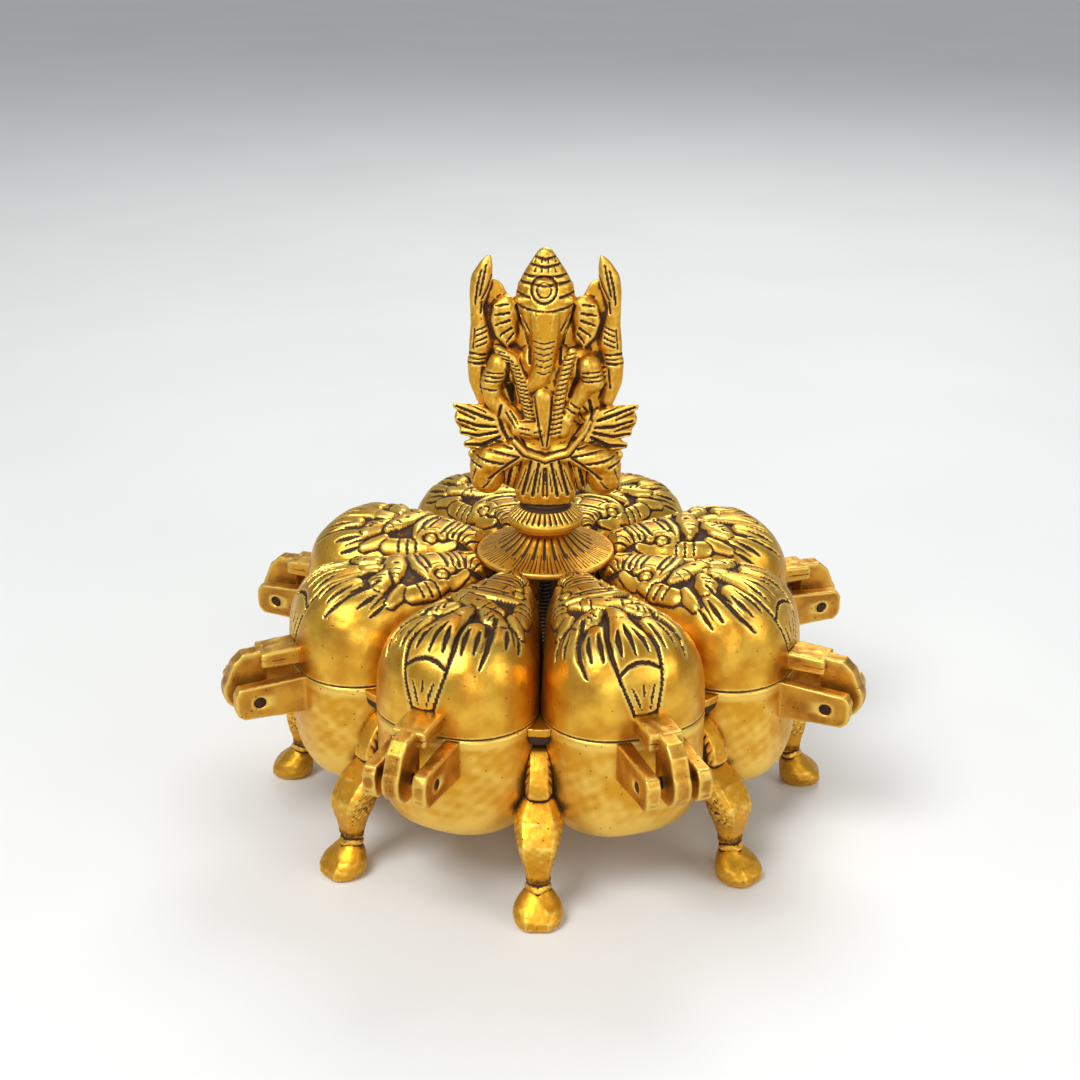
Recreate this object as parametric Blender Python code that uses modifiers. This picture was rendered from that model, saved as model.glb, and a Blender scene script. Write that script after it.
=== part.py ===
"""An eight-petal cast brass spice box: bowls, hinged lids, legs and an unscrewing seated-figure finial.

Units are metres and +Z is up. The origin is on the floor under the centre, and the front faces -Y.
Each petal is drawn once in its own frame (+X outward from the centre, +Y sideways) and turned into place.
"""

import math

import bmesh
import bpy
from mathutils import Matrix, Vector

MM = 0.001

# ---- Driving dimensions -------------------------------------------------------------------------
PETALS = 8
SEAM_Z = 64.6 * MM            # the bowls' rims
LOBE_CENTRE = 72.5 * MM       # the rounded outer corners of a petal, along it from the box's axis
LOBE_RADIUS = 22.0 * MM       # those corners' rounding
END_RADIUS = 48.0 * MM        # the flatter curve between the two corners
SPINE_END = 70.0 * MM         # the outer end of a petal's crest
PETAL_GAP = 0.2 * MM          # half the slit between neighbouring petals
INNER_END = 18.2 * MM         # the petals' inner ends, from the axis
NOSE_RADIUS = 5.2 * MM        # the rounding of the inner end's corners
CREST_START = 32.2 * MM       # the inner end of a petal's crest
FIT_GAP = 0.3 * MM            # between pieces that touch or are brazed

BOWL_DEPTH = 45.6 * MM
BOWL_WALL = 3.0 * MM
BOWL_FULLNESS = 3.4           # exponent of the bowl's rounded underside
LID_HEIGHT = 31.6 * MM
LID_WALL = 2.8 * MM
LID_FULLNESS = 2.9            # exponent of the lid's dome

HINGE_OFFSET = 14.798 * MM    # the pin, outward of the petal's tip
HINGE_DROP = 7.4 * MM         # the pin, below the rims
PIN_RADIUS = 1.8 * MM
PIN_CLEARANCE = 0.3 * MM
EAR_SLOT = 12.8 * MM          # between the two ears
EAR_THICKNESS = 5.0 * MM
EAR_REACH = 8.6 * MM          # beyond the pin
EAR_BELOW = 6.0 * MM
EAR_ABOVE = 7.4 * MM
TONGUE_WIDTH = 6.0 * MM
TONGUE_REACH = 11.0 * MM      # the tongue's round nose, beyond the pin
TONGUE_NOSE = 7.8 * MM        # the nose's radius
TONGUE_TOP = 16.4 * MM        # the strap's top, above the pin
STRAP_STEP = 2.4 * MM         # where the strap narrows to the tongue, inward of the pin
STRAP_LIFT = 2.6 * MM         # the strap's underside over the rims

DISC_RADIUS = 24.9 * MM
DISC_RISE = 27.7 * MM         # the disc's rim, underside, above the bowls' rims
DISC_EDGE = 2.3 * MM
DISC_DISH = 8.1 * MM          # the disc's crown, above the top of its rim
SWING_CLEARANCE = 0.6 * MM    # between the lids' swing and the disc's rim

STUD_RADIUS = 2.9 * MM
STUD_CLEARANCE = 0.3 * MM
THREAD_REACH = 9.3 * MM       # the stud inside the finial
PEDESTAL_HEIGHT = 10.6 * MM
PEDESTAL_RADIUS = 13.6 * MM
PEDESTAL_NECK = 8.6 * MM

HUB_DROP = 7.1 * MM           # the hub's top, below the rims
HUB_DEPTH = 27.0 * MM
WASHER_THICKNESS = 1.6 * MM
WASHER_RADIUS = 8.5 * MM
NUT_ACROSS = 11.0 * MM
NUT_THICKNESS = 5.4 * MM

FOOT_OFFSET = 2.3 * MM        # the middle of the sole, outward of the petals' tips
SOLE_LENGTH = 16.4 * MM
SOLE_WIDTH = 17.2 * MM
ANKLE_WIDTH = 8.9 * MM
CALF_WIDTH = 14.6 * MM
THIGH_WIDTH = 17.2 * MM
RIDGE_WIDTH = 8.4 * MM        # the thigh's upper end, in the valley
WEB_REACH = 12.2 * MM         # the web at the rims, outward of the valley
WEB_THICKNESS = 3.0 * MM

FIGURE_HEIGHT = 91.9 * MM
FIGURE_WIDTH = 68.0 * MM      # over the tips of the sash
FIGURE_DEPTH = 16.0 * MM      # through the body

# ---- Worked out from the above ------------------------------------------------------------------
HALF_SECTOR = math.pi / PETALS
CORNER_SIDE = LOBE_CENTRE * math.tan(HALF_SECTOR) - (PETAL_GAP + LOBE_RADIUS) / math.cos(HALF_SECTOR)
END_CENTRE = LOBE_CENTRE - math.sqrt((END_RADIUS - LOBE_RADIUS) ** 2 - CORNER_SIDE**2)
END_SWEEP = math.degrees(math.atan2(CORNER_SIDE, LOBE_CENTRE - END_CENTRE))
LOBE_TIP = END_CENTRE + END_RADIUS
HINGE_RADIUS = LOBE_TIP + HINGE_OFFSET
HINGE_Z = SEAM_Z - HINGE_DROP
LID_Z = SEAM_Z + FIT_GAP
HOLE_RADIUS = PIN_RADIUS + PIN_CLEARANCE
EAR_OUTSIDE = EAR_SLOT / 2 + EAR_THICKNESS
DISC_Z = SEAM_Z + DISC_RISE
DISC_RIM_TOP = DISC_Z + DISC_EDGE
DISC_CROWN = DISC_RIM_TOP + DISC_DISH
SWING_RADIUS = math.hypot(HINGE_RADIUS - DISC_RADIUS, DISC_Z - HINGE_Z) - SWING_CLEARANCE
STUD_HOLE = STUD_RADIUS + STUD_CLEARANCE
PEDESTAL_Z = DISC_CROWN + FIT_GAP
PEDESTAL_TOP = PEDESTAL_Z + PEDESTAL_HEIGHT
FIGURE_Z = PEDESTAL_TOP + FIT_GAP
STUD_TOP = PEDESTAL_Z + THREAD_REACH
HUB_TOP = SEAM_Z - HUB_DROP
WASHER_Z = HUB_TOP - HUB_DEPTH - FIT_GAP - WASHER_THICKNESS
NUT_Z = WASHER_Z - FIT_GAP - NUT_THICKNESS
STUD_BOTTOM = NUT_Z - 1.5 * MM
DOME_ANGLES = (0, 20, 40, 58, 75)  # where a dome's rings are taken, in degrees up its rounded section


# ---- Helpers ------------------------------------------------------------------------------------
def clear_scene():
    """Removes every object that the scene starts with."""
    for obj in list(bpy.data.objects):
        bpy.data.objects.remove(obj, do_unlink=True)


def new_collection(name):
    """A collection linked into the scene."""
    collection = bpy.data.collections.new(name)
    bpy.context.scene.collection.children.link(collection)
    return collection


def finish_material(name, colour, roughness):
    """A metal finish."""
    material = bpy.data.materials.new(name)
    material.use_nodes = True
    shader = material.node_tree.nodes["Principled BSDF"]
    shader.inputs["Base Color"].default_value = (*colour, 1.0)
    shader.inputs["Roughness"].default_value = roughness
    shader.inputs["Metallic"].default_value = 1.0
    return material


def mesh_of(name, bm):
    """A mesh from bm, its normals facing out, with bm freed."""
    bmesh.ops.recalc_face_normals(bm, faces=bm.faces)
    mesh = bpy.data.meshes.new(name)
    bm.to_mesh(mesh)
    bm.free()
    return mesh


def add_object(name, mesh, collection, material, matrix=None):
    """A named object of a mesh, in its collection and place."""
    obj = bpy.data.objects.new(name, mesh)
    collection.objects.link(obj)
    if not mesh.materials:
        mesh.materials.append(material)
    if matrix is not None:
        obj.matrix_world = matrix
    return obj


def add_cutter(name, mesh):
    """A hidden shape for a Boolean."""
    obj = add_object(name, mesh, CUTTERS, BRASS)
    obj.hide_render = True
    obj.display_type = "WIRE"
    return obj


def boolean(obj, operation, other):
    """Joins other to obj, or cuts it away."""
    modifier = obj.modifiers.new(operation.lower() + "_" + other.name, "BOOLEAN")
    modifier.operation = operation
    modifier.solver = "EXACT"
    modifier.object = other


def baked_mesh(obj, name):
    """The object's evaluated mesh as a new mesh; the object itself is removed."""
    bpy.context.view_layer.update()
    graph = bpy.context.evaluated_depsgraph_get()
    mesh = bpy.data.meshes.new_from_object(obj.evaluated_get(graph))
    mesh.name = name
    bpy.data.objects.remove(obj, do_unlink=True)
    mesh.shade_smooth()
    mesh.set_sharp_from_angle(angle=math.radians(40))
    return mesh


def loft(bm, rings):
    """A closed body through rings of equally many points, capped at both ends."""
    loops = [[bm.verts.new(p) for p in ring] for ring in rings]
    for low, high in zip(loops, loops[1:]):
        for i in range(len(low)):
            j = (i + 1) % len(low)
            bm.faces.new((low[i], low[j], high[j], high[i]))
    bm.faces.new(loops[0][::-1])
    bm.faces.new(loops[-1])


def prism(outline, low, high):
    """A closed prism of an (x, z) outline between two y values."""
    bm = bmesh.new()
    loft(bm, [[(x, y, z) for x, z in outline] for y in (low, high)])
    return bm


def rod(radius, low, high, sides):
    """A bmesh cylinder along Y between two y values, centred on the origin."""
    bm = bmesh.new()
    bmesh.ops.create_cone(bm, cap_ends=True, segments=sides, radius1=radius, radius2=radius, depth=high - low)
    turn = Matrix.Translation((0, (low + high) / 2, 0)) @ Matrix.Rotation(math.radians(90), 4, "X")
    bmesh.ops.transform(bm, matrix=turn, verts=bm.verts)
    return bm


def turned(name, profile, collection, material, steps=32, closed=True):
    """A turned piece: an (r, z) profile with a Screw modifier about Z."""
    bm = bmesh.new()
    points = [bm.verts.new((r, 0, z)) for r, z in profile]
    for a, b in zip(points, points[1:]):
        bm.edges.new((a, b))
    if closed:
        bm.edges.new((points[-1], points[0]))
    mesh = bpy.data.meshes.new(name)
    bm.to_mesh(mesh)
    bm.free()
    obj = add_object(name, mesh, collection, material)
    screw = obj.modifiers.new("turn", "SCREW")
    screw.axis = "Z"
    screw.angle = 2 * math.pi
    screw.steps = steps
    screw.render_steps = steps
    screw.use_merge_vertices = True
    screw.merge_threshold = 0.00001
    screw.use_smooth_shade = True
    return obj


def arc(cx, cy, radius, start, end, count):
    """Points on an arc, angles in degrees."""
    angles = [math.radians(start + (end - start) * i / (count - 1)) for i in range(count)]
    return [(cx + radius * math.cos(a), cy + radius * math.sin(a)) for a in angles]


def petal_angle(index):
    """The direction of petal index, 0 at the first petal to the right of the front."""
    return (2 * index + 1) * HALF_SECTOR - math.pi / 2


def leg_angle(index):
    """The direction of leg index, 0 at the front."""
    return 2 * index * HALF_SECTOR - math.pi / 2


# ---- Petals -------------------------------------------------------------------------------------
def petal_outline(inset=0.0):
    """The petal's (x, y) outline, offset inward: a flat-fronted outer end, straight sides and a rounded nose."""
    end = INNER_END + inset
    nose = max(NOSE_RADIUS - inset, 1.2 * MM)
    side_slope = math.degrees(HALF_SECTOR)
    side_offset = (PETAL_GAP + inset) / math.cos(HALF_SECTOR)
    corner_x = end + nose
    corner_y = corner_x * math.tan(HALF_SECTOR) - side_offset - nose / math.cos(HALF_SECTOR)
    if corner_y < 0:
        # the nose is one arc between the two sides
        corner_x = (side_offset + nose / math.cos(HALF_SECTOR)) / math.tan(HALF_SECTOR)
        corner_y = 0.0
    corner = arc(LOBE_CENTRE, CORNER_SIDE, LOBE_RADIUS - inset, END_SWEEP, 90 + side_slope, 6)
    end_curve = arc(END_CENTRE, 0, END_RADIUS - inset, -END_SWEEP, END_SWEEP, 5)[1:-1]
    outer = [*[(x, -y) for x, y in corner[::-1]], *end_curve, *corner]
    upper_nose = arc(corner_x, corner_y, nose, 90 + side_slope, 168, 3)
    lower_nose = arc(corner_x, -corner_y, nose, 192, 270 - side_slope, 3)
    mid_x = (LOBE_CENTRE + corner_x) / 2
    mid_y = mid_x * math.tan(HALF_SECTOR) - side_offset
    return [*outer, (mid_x, mid_y), *upper_nose, *lower_nose, (mid_x, -mid_y)]


def swing_limit(z, wall):
    """How near the box's axis a lid may reach at height z, so that its tip swings clear of the disc."""
    return HINGE_RADIUS - math.sqrt((SWING_RADIUS - wall) ** 2 - (z - HINGE_Z) ** 2)


def dome_rings(wall, base_z, height, fullness, direction, swings=False):
    """Rings of a petal's dome (direction 1) or bowl (direction -1), offset inward by wall.

    Each ring is the outline shrunk towards the petal's spine. A dome that swings keeps its tip on the swing's arc.
    """
    rings = []
    outline = petal_outline(wall)
    tip = min(x for x, y in outline)
    for angle in DOME_ANGLES:
        scale = math.cos(math.radians(angle)) ** (2 / fullness)
        rise = math.sin(math.radians(angle)) ** (2 / fullness) * (height - wall)
        z = base_z + direction * rise
        ring = []
        for x, y in outline:
            middle = min(max(x, CREST_START), SPINE_END)
            if swings and x < CREST_START:
                limit = max(swing_limit(z, wall), tip)
                across = limit + (x - tip) / (CREST_START - tip) * (CREST_START - limit)
            else:
                across = middle + scale * (x - middle)
            ring.append((across, scale * y, z))
        rings.append(ring)
    return rings


def shell_mesh(outer, inner):
    """A cup: outer rings from the rim to the end, then inner rings back to the rim."""
    bm = bmesh.new()
    loft(bm, [*outer[::-1], *inner])
    return bm


def hinge_ear(side):
    """One ear of a bowl, a plate with a clipped top that the pin goes through."""
    wall_x = END_CENTRE + math.sqrt(END_RADIUS**2 - EAR_OUTSIDE**2) - 1.0 * MM
    reach = HINGE_RADIUS + EAR_REACH
    top, low = HINGE_Z + EAR_ABOVE, HINGE_Z - EAR_BELOW
    slope = 1.6 * MM
    clip = 2.6 * MM
    outline = [
        (wall_x, low - 0.5 * MM),
        (reach - clip, low),
        (reach, low + clip),
        (reach, top - slope - clip),
        (reach - 0.6 * clip, top - slope),
        (wall_x, top),
    ]
    inside, outside = sorted((side * EAR_SLOT / 2, side * EAR_OUTSIDE))
    return prism(outline, inside, outside)


def bowl_mesh():
    """A bowl with its two drilled ears."""
    outer = dome_rings(0.0, SEAM_Z, BOWL_DEPTH, BOWL_FULLNESS, -1)
    inner = dome_rings(BOWL_WALL, SEAM_Z, BOWL_DEPTH, BOWL_FULLNESS, -1)
    bowl = add_object("bowl_blank", mesh_of("bowl_blank", shell_mesh(outer, inner)), PARTS, BRASS)
    tools = []
    for side, name in ((-1, "ear_right"), (1, "ear_left")):
        ear = add_cutter(name, mesh_of(name, hinge_ear(side)))
        boolean(bowl, "UNION", ear)
        tools.append(ear)
    hole = mesh_of("ear_hole", rod(HOLE_RADIUS, -EAR_OUTSIDE - MM, EAR_OUTSIDE + MM, 14))
    hole.transform(Matrix.Translation((HINGE_RADIUS, 0, HINGE_Z)))
    drill = add_cutter("ear_hole", hole)
    boolean(bowl, "DIFFERENCE", drill)
    mesh = baked_mesh(bowl, "bowl")
    for tool in (*tools, drill):
        bpy.data.objects.remove(tool, do_unlink=True)
    return mesh


def strap_outline():
    """The strap's (x, z) outline from inside the lid's wall out to its step."""
    wall_x = END_CENTRE + math.sqrt(END_RADIUS**2 - (EAR_SLOT / 2) ** 2) - 1.4 * MM
    step_x = HINGE_RADIUS - STRAP_STEP
    low, high = SEAM_Z + STRAP_LIFT, HINGE_Z + TONGUE_TOP
    return [(wall_x, low), (step_x, low), (step_x, high - 0.9 * MM), (wall_x + 2 * MM, high), (wall_x, high)]


def tongue_outline():
    """The tongue's (x, z) outline: a sloped top, a round nose level with the ears' undersides, a clipped inner side."""
    low = HINGE_Z - EAR_BELOW - 0.2 * MM
    nose = arc(HINGE_RADIUS + TONGUE_REACH - TONGUE_NOSE, low + TONGUE_NOSE, TONGUE_NOSE, 35, -90, 6)
    inner = HINGE_RADIUS - STRAP_STEP - 2.6 * MM
    high = HINGE_Z + TONGUE_TOP
    return [
        (inner, SEAM_Z + STRAP_LIFT + MM),
        (inner, high - 0.9 * MM),
        (HINGE_RADIUS + 3.5 * MM, high - 1.4 * MM),
        (HINGE_RADIUS + 0.64 * TONGUE_REACH, high - 4.6 * MM),
        *nose,
        (HINGE_RADIUS - 3.0 * MM, low + 0.4 * MM),
        (inner + 0.6 * MM, low + 3.0 * MM),
    ]


def lid_mesh():
    """The lid in its petal's frame, moved so that its hinge axis is the origin's Y axis."""
    outer = dome_rings(0.0, LID_Z, LID_HEIGHT, LID_FULLNESS, 1, swings=True)
    inner = dome_rings(LID_WALL, LID_Z, LID_HEIGHT, LID_FULLNESS, 1, swings=True)
    lid = add_object("lid_blank", mesh_of("lid_blank", shell_mesh(outer, inner)), PARTS, BRASS)
    half_strap = EAR_SLOT / 2 - FIT_GAP
    strap = add_cutter("strap", mesh_of("strap", prism(strap_outline(), -half_strap, half_strap)))
    tongue_mesh = mesh_of("tongue", prism(tongue_outline(), -TONGUE_WIDTH / 2, TONGUE_WIDTH / 2))
    tongue = add_cutter("tongue", tongue_mesh)
    hole = mesh_of("tongue_hole", rod(HOLE_RADIUS, -TONGUE_WIDTH, TONGUE_WIDTH, 14))
    hole.transform(Matrix.Translation((HINGE_RADIUS, 0, HINGE_Z)))
    drill = add_cutter("tongue_hole", hole)
    boolean(lid, "UNION", strap)
    boolean(lid, "UNION", tongue)
    boolean(lid, "DIFFERENCE", drill)
    mesh = baked_mesh(lid, "lid")
    for tool in (strap, tongue, drill):
        bpy.data.objects.remove(tool, do_unlink=True)
    mesh.transform(Matrix.Translation((-HINGE_RADIUS, 0, -HINGE_Z)))
    return mesh


def pin_mesh():
    """The hinge pin along Y, its ends a hair inside the ears' outer faces."""
    length = EAR_OUTSIDE - 0.4 * MM
    return mesh_of("hinge_pin", rod(PIN_RADIUS, -length, length, 12))


def build_petals():
    """Every petal's bowl, lid and hinge pin."""
    bowl, lid, pin = bowl_mesh(), lid_mesh(), pin_mesh()
    for index in range(PETALS):
        turn = Matrix.Rotation(petal_angle(index), 4, "Z")
        hinge = turn @ Matrix.Translation((HINGE_RADIUS, 0, HINGE_Z))
        add_object(f"bowl_{index + 1}", bowl, PARTS, BRASS, turn)
        add_object(f"lid_{index + 1}", lid, PARTS, BRASS_LID, hinge)
        add_object(f"hinge_pin_{index + 1}", pin, PARTS, STEEL, hinge)


# ---- Legs ---------------------------------------------------------------------------------------
def leg_section(height, inner, outer, width, sides=10):
    """A rounded horizontal section between two distances from the box's axis."""
    middle, half = (inner + outer) / 2, (outer - inner) / 2
    ring = []
    for i in range(sides):
        a = 2 * math.pi * (i + 0.5) / sides
        c, s = math.cos(a), math.sin(a)
        x = middle + half * math.copysign(abs(c) ** 0.75, c)
        ring.append((x, width / 2 * math.copysign(abs(s) ** 0.75, s), height))
    return ring


def leg_sections():
    """The leg's sections from the sole up: ankle, calf, the ridged thigh in the valley and the web at the rims."""
    foot = LOBE_TIP + FOOT_OFFSET
    heel = foot - SOLE_LENGTH / 2
    toe = foot + SOLE_LENGTH / 2
    valley = LOBE_CENTRE * math.cos(HALF_SECTOR) + CORNER_SIDE * math.sin(HALF_SECTOR) + 1.0 * MM
    tall = SEAM_Z - FIT_GAP
    web_low = tall - WEB_THICKNESS
    return [
        (0, heel + 0.8 * MM, toe - 0.8 * MM, 0.9 * SOLE_WIDTH),
        (0.03 * tall, heel, toe, SOLE_WIDTH),
        (0.09 * tall, heel - 0.3 * MM, toe - 3.0 * MM, 0.88 * SOLE_WIDTH),
        (0.15 * tall, heel - 0.4 * MM, heel + 7.6 * MM, ANKLE_WIDTH),
        (0.22 * tall, heel - 1.0 * MM, heel + 7.6 * MM, ANKLE_WIDTH),
        (0.43 * tall, heel - 5.2 * MM, heel + 9.3 * MM, CALF_WIDTH),
        (0.53 * tall, heel - 15.8 * MM, heel + 4.3 * MM, THIGH_WIDTH),
        (0.62 * tall, valley + 3.0 * MM, heel - 1.5 * MM, 0.8 * THIGH_WIDTH),
        (0.71 * tall, valley, heel - 0.2 * MM, 1.28 * RIDGE_WIDTH),
        (0.87 * tall, valley, heel - 7.4 * MM, RIDGE_WIDTH),
        (0.89 * tall, valley, valley + WEB_REACH / 2, RIDGE_WIDTH),
        (web_low - 0.2 * MM, valley, valley + WEB_REACH / 2, RIDGE_WIDTH),
        (web_low, valley, valley + WEB_REACH, 1.06 * WEB_REACH),
        (tall, valley, valley + WEB_REACH, 1.06 * WEB_REACH),
    ]


def leg_mesh():
    """One leg, cut back from the bowls on both sides of its valley."""
    bm = bmesh.new()
    loft(bm, [leg_section(*section) for section in leg_sections()])
    leg = add_object("leg_blank", mesh_of("leg_blank", bm), PARTS, BRASS)
    tools = []
    for side in (-1, 1):
        rings = dome_rings(-FIT_GAP, SEAM_Z + FIT_GAP, BOWL_DEPTH + FIT_GAP, BOWL_FULLNESS, -1)
        room = bmesh.new()
        loft(room, rings)
        mesh = mesh_of("bowl_room", room)
        mesh.transform(Matrix.Rotation(side * HALF_SECTOR, 4, "Z"))
        tool = add_cutter(f"bowl_room_{side}", mesh)
        boolean(leg, "DIFFERENCE", tool)
        tools.append(tool)
    mesh = baked_mesh(leg, "leg")
    for tool in tools:
        bpy.data.objects.remove(tool, do_unlink=True)
    return mesh


def build_legs():
    """One leg in each valley."""
    leg = leg_mesh()
    for index in range(PETALS):
        add_object(f"leg_{index + 1}", leg, PARTS, BRASS, Matrix.Rotation(leg_angle(index), 4, "Z"))


# ---- Centre: hub, stud, nut, disc ---------------------------------------------------------------
def build_hub():
    """The boss between the bowls' tips, which draw back below their rims and so leave the fit gap."""
    outside = INNER_END
    low = HUB_TOP - HUB_DEPTH
    chamfer = 1.0 * MM
    profile = [
        (STUD_HOLE, HUB_TOP),
        (outside - chamfer, HUB_TOP),
        (outside, HUB_TOP - chamfer),
        (outside, low + chamfer),
        (outside - chamfer, low),
        (STUD_HOLE, low),
    ]
    turned("hub", profile, PARTS, BRASS, steps=32)


def build_stud():
    """The threaded rod, plain here at its thread's outer diameter."""
    chamfer = 0.8 * MM
    profile = [
        (0, STUD_TOP),
        (STUD_RADIUS - chamfer, STUD_TOP),
        (STUD_RADIUS, STUD_TOP - chamfer),
        (STUD_RADIUS, STUD_BOTTOM + chamfer),
        (STUD_RADIUS - chamfer, STUD_BOTTOM),
        (0, STUD_BOTTOM),
    ]
    turned("centre_stud", profile, PARTS, STEEL, steps=16, closed=False)


def build_washer_and_nut():
    """What holds the stud under the hub."""
    washer = [
        (STUD_HOLE, WASHER_Z + WASHER_THICKNESS),
        (WASHER_RADIUS, WASHER_Z + WASHER_THICKNESS),
        (WASHER_RADIUS, WASHER_Z),
        (STUD_HOLE, WASHER_Z),
    ]
    turned("stud_washer", washer, PARTS, STEEL, steps=24)
    bm = bmesh.new()
    across_corners = NUT_ACROSS / math.cos(math.pi / 6) / 2
    bmesh.ops.create_cone(
        bm, cap_ends=True, segments=6, radius1=across_corners, radius2=across_corners, depth=NUT_THICKNESS
    )
    bmesh.ops.translate(bm, verts=bm.verts, vec=(0, 0, NUT_Z + NUT_THICKNESS / 2))
    nut = add_object("stud_nut", mesh_of("stud_nut", bm), PARTS, STEEL)
    hole = bmesh.new()
    bmesh.ops.create_cone(
        hole, cap_ends=True, segments=16, radius1=STUD_HOLE, radius2=STUD_HOLE, depth=3 * NUT_THICKNESS
    )
    bmesh.ops.translate(hole, verts=hole.verts, vec=(0, 0, NUT_Z + NUT_THICKNESS / 2))
    boolean(nut, "DIFFERENCE", add_cutter("nut_hole", mesh_of("nut_hole", hole)))


def build_disc():
    """The dished disc over the lids' tips."""
    rise = DISC_CROWN - DISC_RIM_TOP
    profile = [
        (STUD_HOLE, DISC_CROWN),
        (8.0 * MM, DISC_CROWN),
        (0.48 * DISC_RADIUS, DISC_RIM_TOP + 0.72 * rise),
        (0.72 * DISC_RADIUS, DISC_RIM_TOP + 0.26 * rise),
        (DISC_RADIUS - 0.4 * MM, DISC_RIM_TOP),
        (DISC_RADIUS, DISC_RIM_TOP - 0.4 * MM),
        (DISC_RADIUS, DISC_Z),
        (0.72 * DISC_RADIUS, DISC_Z),
        (0.48 * DISC_RADIUS, DISC_Z + 0.45 * rise),
        (STUD_HOLE, DISC_Z + 0.62 * rise),
    ]
    turned("clamp_disc", profile, PARTS, BRASS, steps=36)


# ---- Finial: pedestal and seated figure ---------------------------------------------------------
def build_pedestal():
    """The finial's round foot, with a blind bore for the stud."""
    h = PEDESTAL_HEIGHT
    blind = STUD_TOP + 0.6 * MM
    profile = [
        (0, PEDESTAL_TOP),
        (PEDESTAL_NECK, PEDESTAL_TOP),
        (PEDESTAL_NECK, PEDESTAL_Z + 0.80 * h),
        (0.86 * PEDESTAL_RADIUS, PEDESTAL_Z + 0.58 * h),
        (PEDESTAL_RADIUS, PEDESTAL_Z + 0.42 * h),
        (PEDESTAL_RADIUS, PEDESTAL_Z + 0.28 * h),
        (0.80 * PEDESTAL_RADIUS, PEDESTAL_Z + 0.06 * h),
        (0.62 * PEDESTAL_RADIUS, PEDESTAL_Z),
        (STUD_HOLE, PEDESTAL_Z),
        (STUD_HOLE, blind),
        (0, blind),
    ]
    turned("pedestal", profile, PARTS, BRASS, steps=32, closed=False)


def ball(bm, centre, radii, turn=0.0):
    """An ellipsoid, turned about Y by turn degrees."""
    ends = bmesh.ops.create_uvsphere(bm, u_segments=16, v_segments=10, radius=1.0)
    shape = Matrix.Diagonal((*radii, 1.0))
    place = Matrix.Translation(centre) @ Matrix.Rotation(math.radians(turn), 4, "Y") @ shape
    bmesh.ops.transform(bm, matrix=place, verts=ends["verts"])


def limb(bm, start, end, radius, end_radius):
    """A tapered limb with round ends."""
    a, b = Vector(start), Vector(end)
    ball(bm, a, (radius,) * 3)
    ball(bm, b, (end_radius,) * 3)
    cone = bmesh.ops.create_cone(
        bm, cap_ends=True, segments=14, radius1=radius, radius2=end_radius, depth=(b - a).length
    )
    turn = (b - a).to_track_quat("Z", "Y").to_matrix().to_4x4()
    bmesh.ops.transform(bm, matrix=Matrix.Translation((a + b) / 2) @ turn, verts=cone["verts"])


def figure_point(x, y, z):
    """A point of the figure: x in half widths and y in half depths from the axis, z in heights from its base."""
    return (x * FIGURE_WIDTH / 2, y * FIGURE_DEPTH / 2, FIGURE_Z + z * FIGURE_HEIGHT)


def figure_sheet(bm):
    """The flat sash and skirt behind the figure."""
    half = [
        (0.20, 0), (0.62, 0.003), (0.82, 0.054), (0.87, 0.12), (0.83, 0.196),
        (1.0, 0.37), (0.97, 0.397), (0.72, 0.37), (0.74, 0.479), (0.66, 0.609),
    ]
    outline = half + [(-x, z) for x, z in half[::-1]]
    loft(bm, [[figure_point(x, y, z) for x, z in outline] for y in (-0.32, 0.42)])


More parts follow.
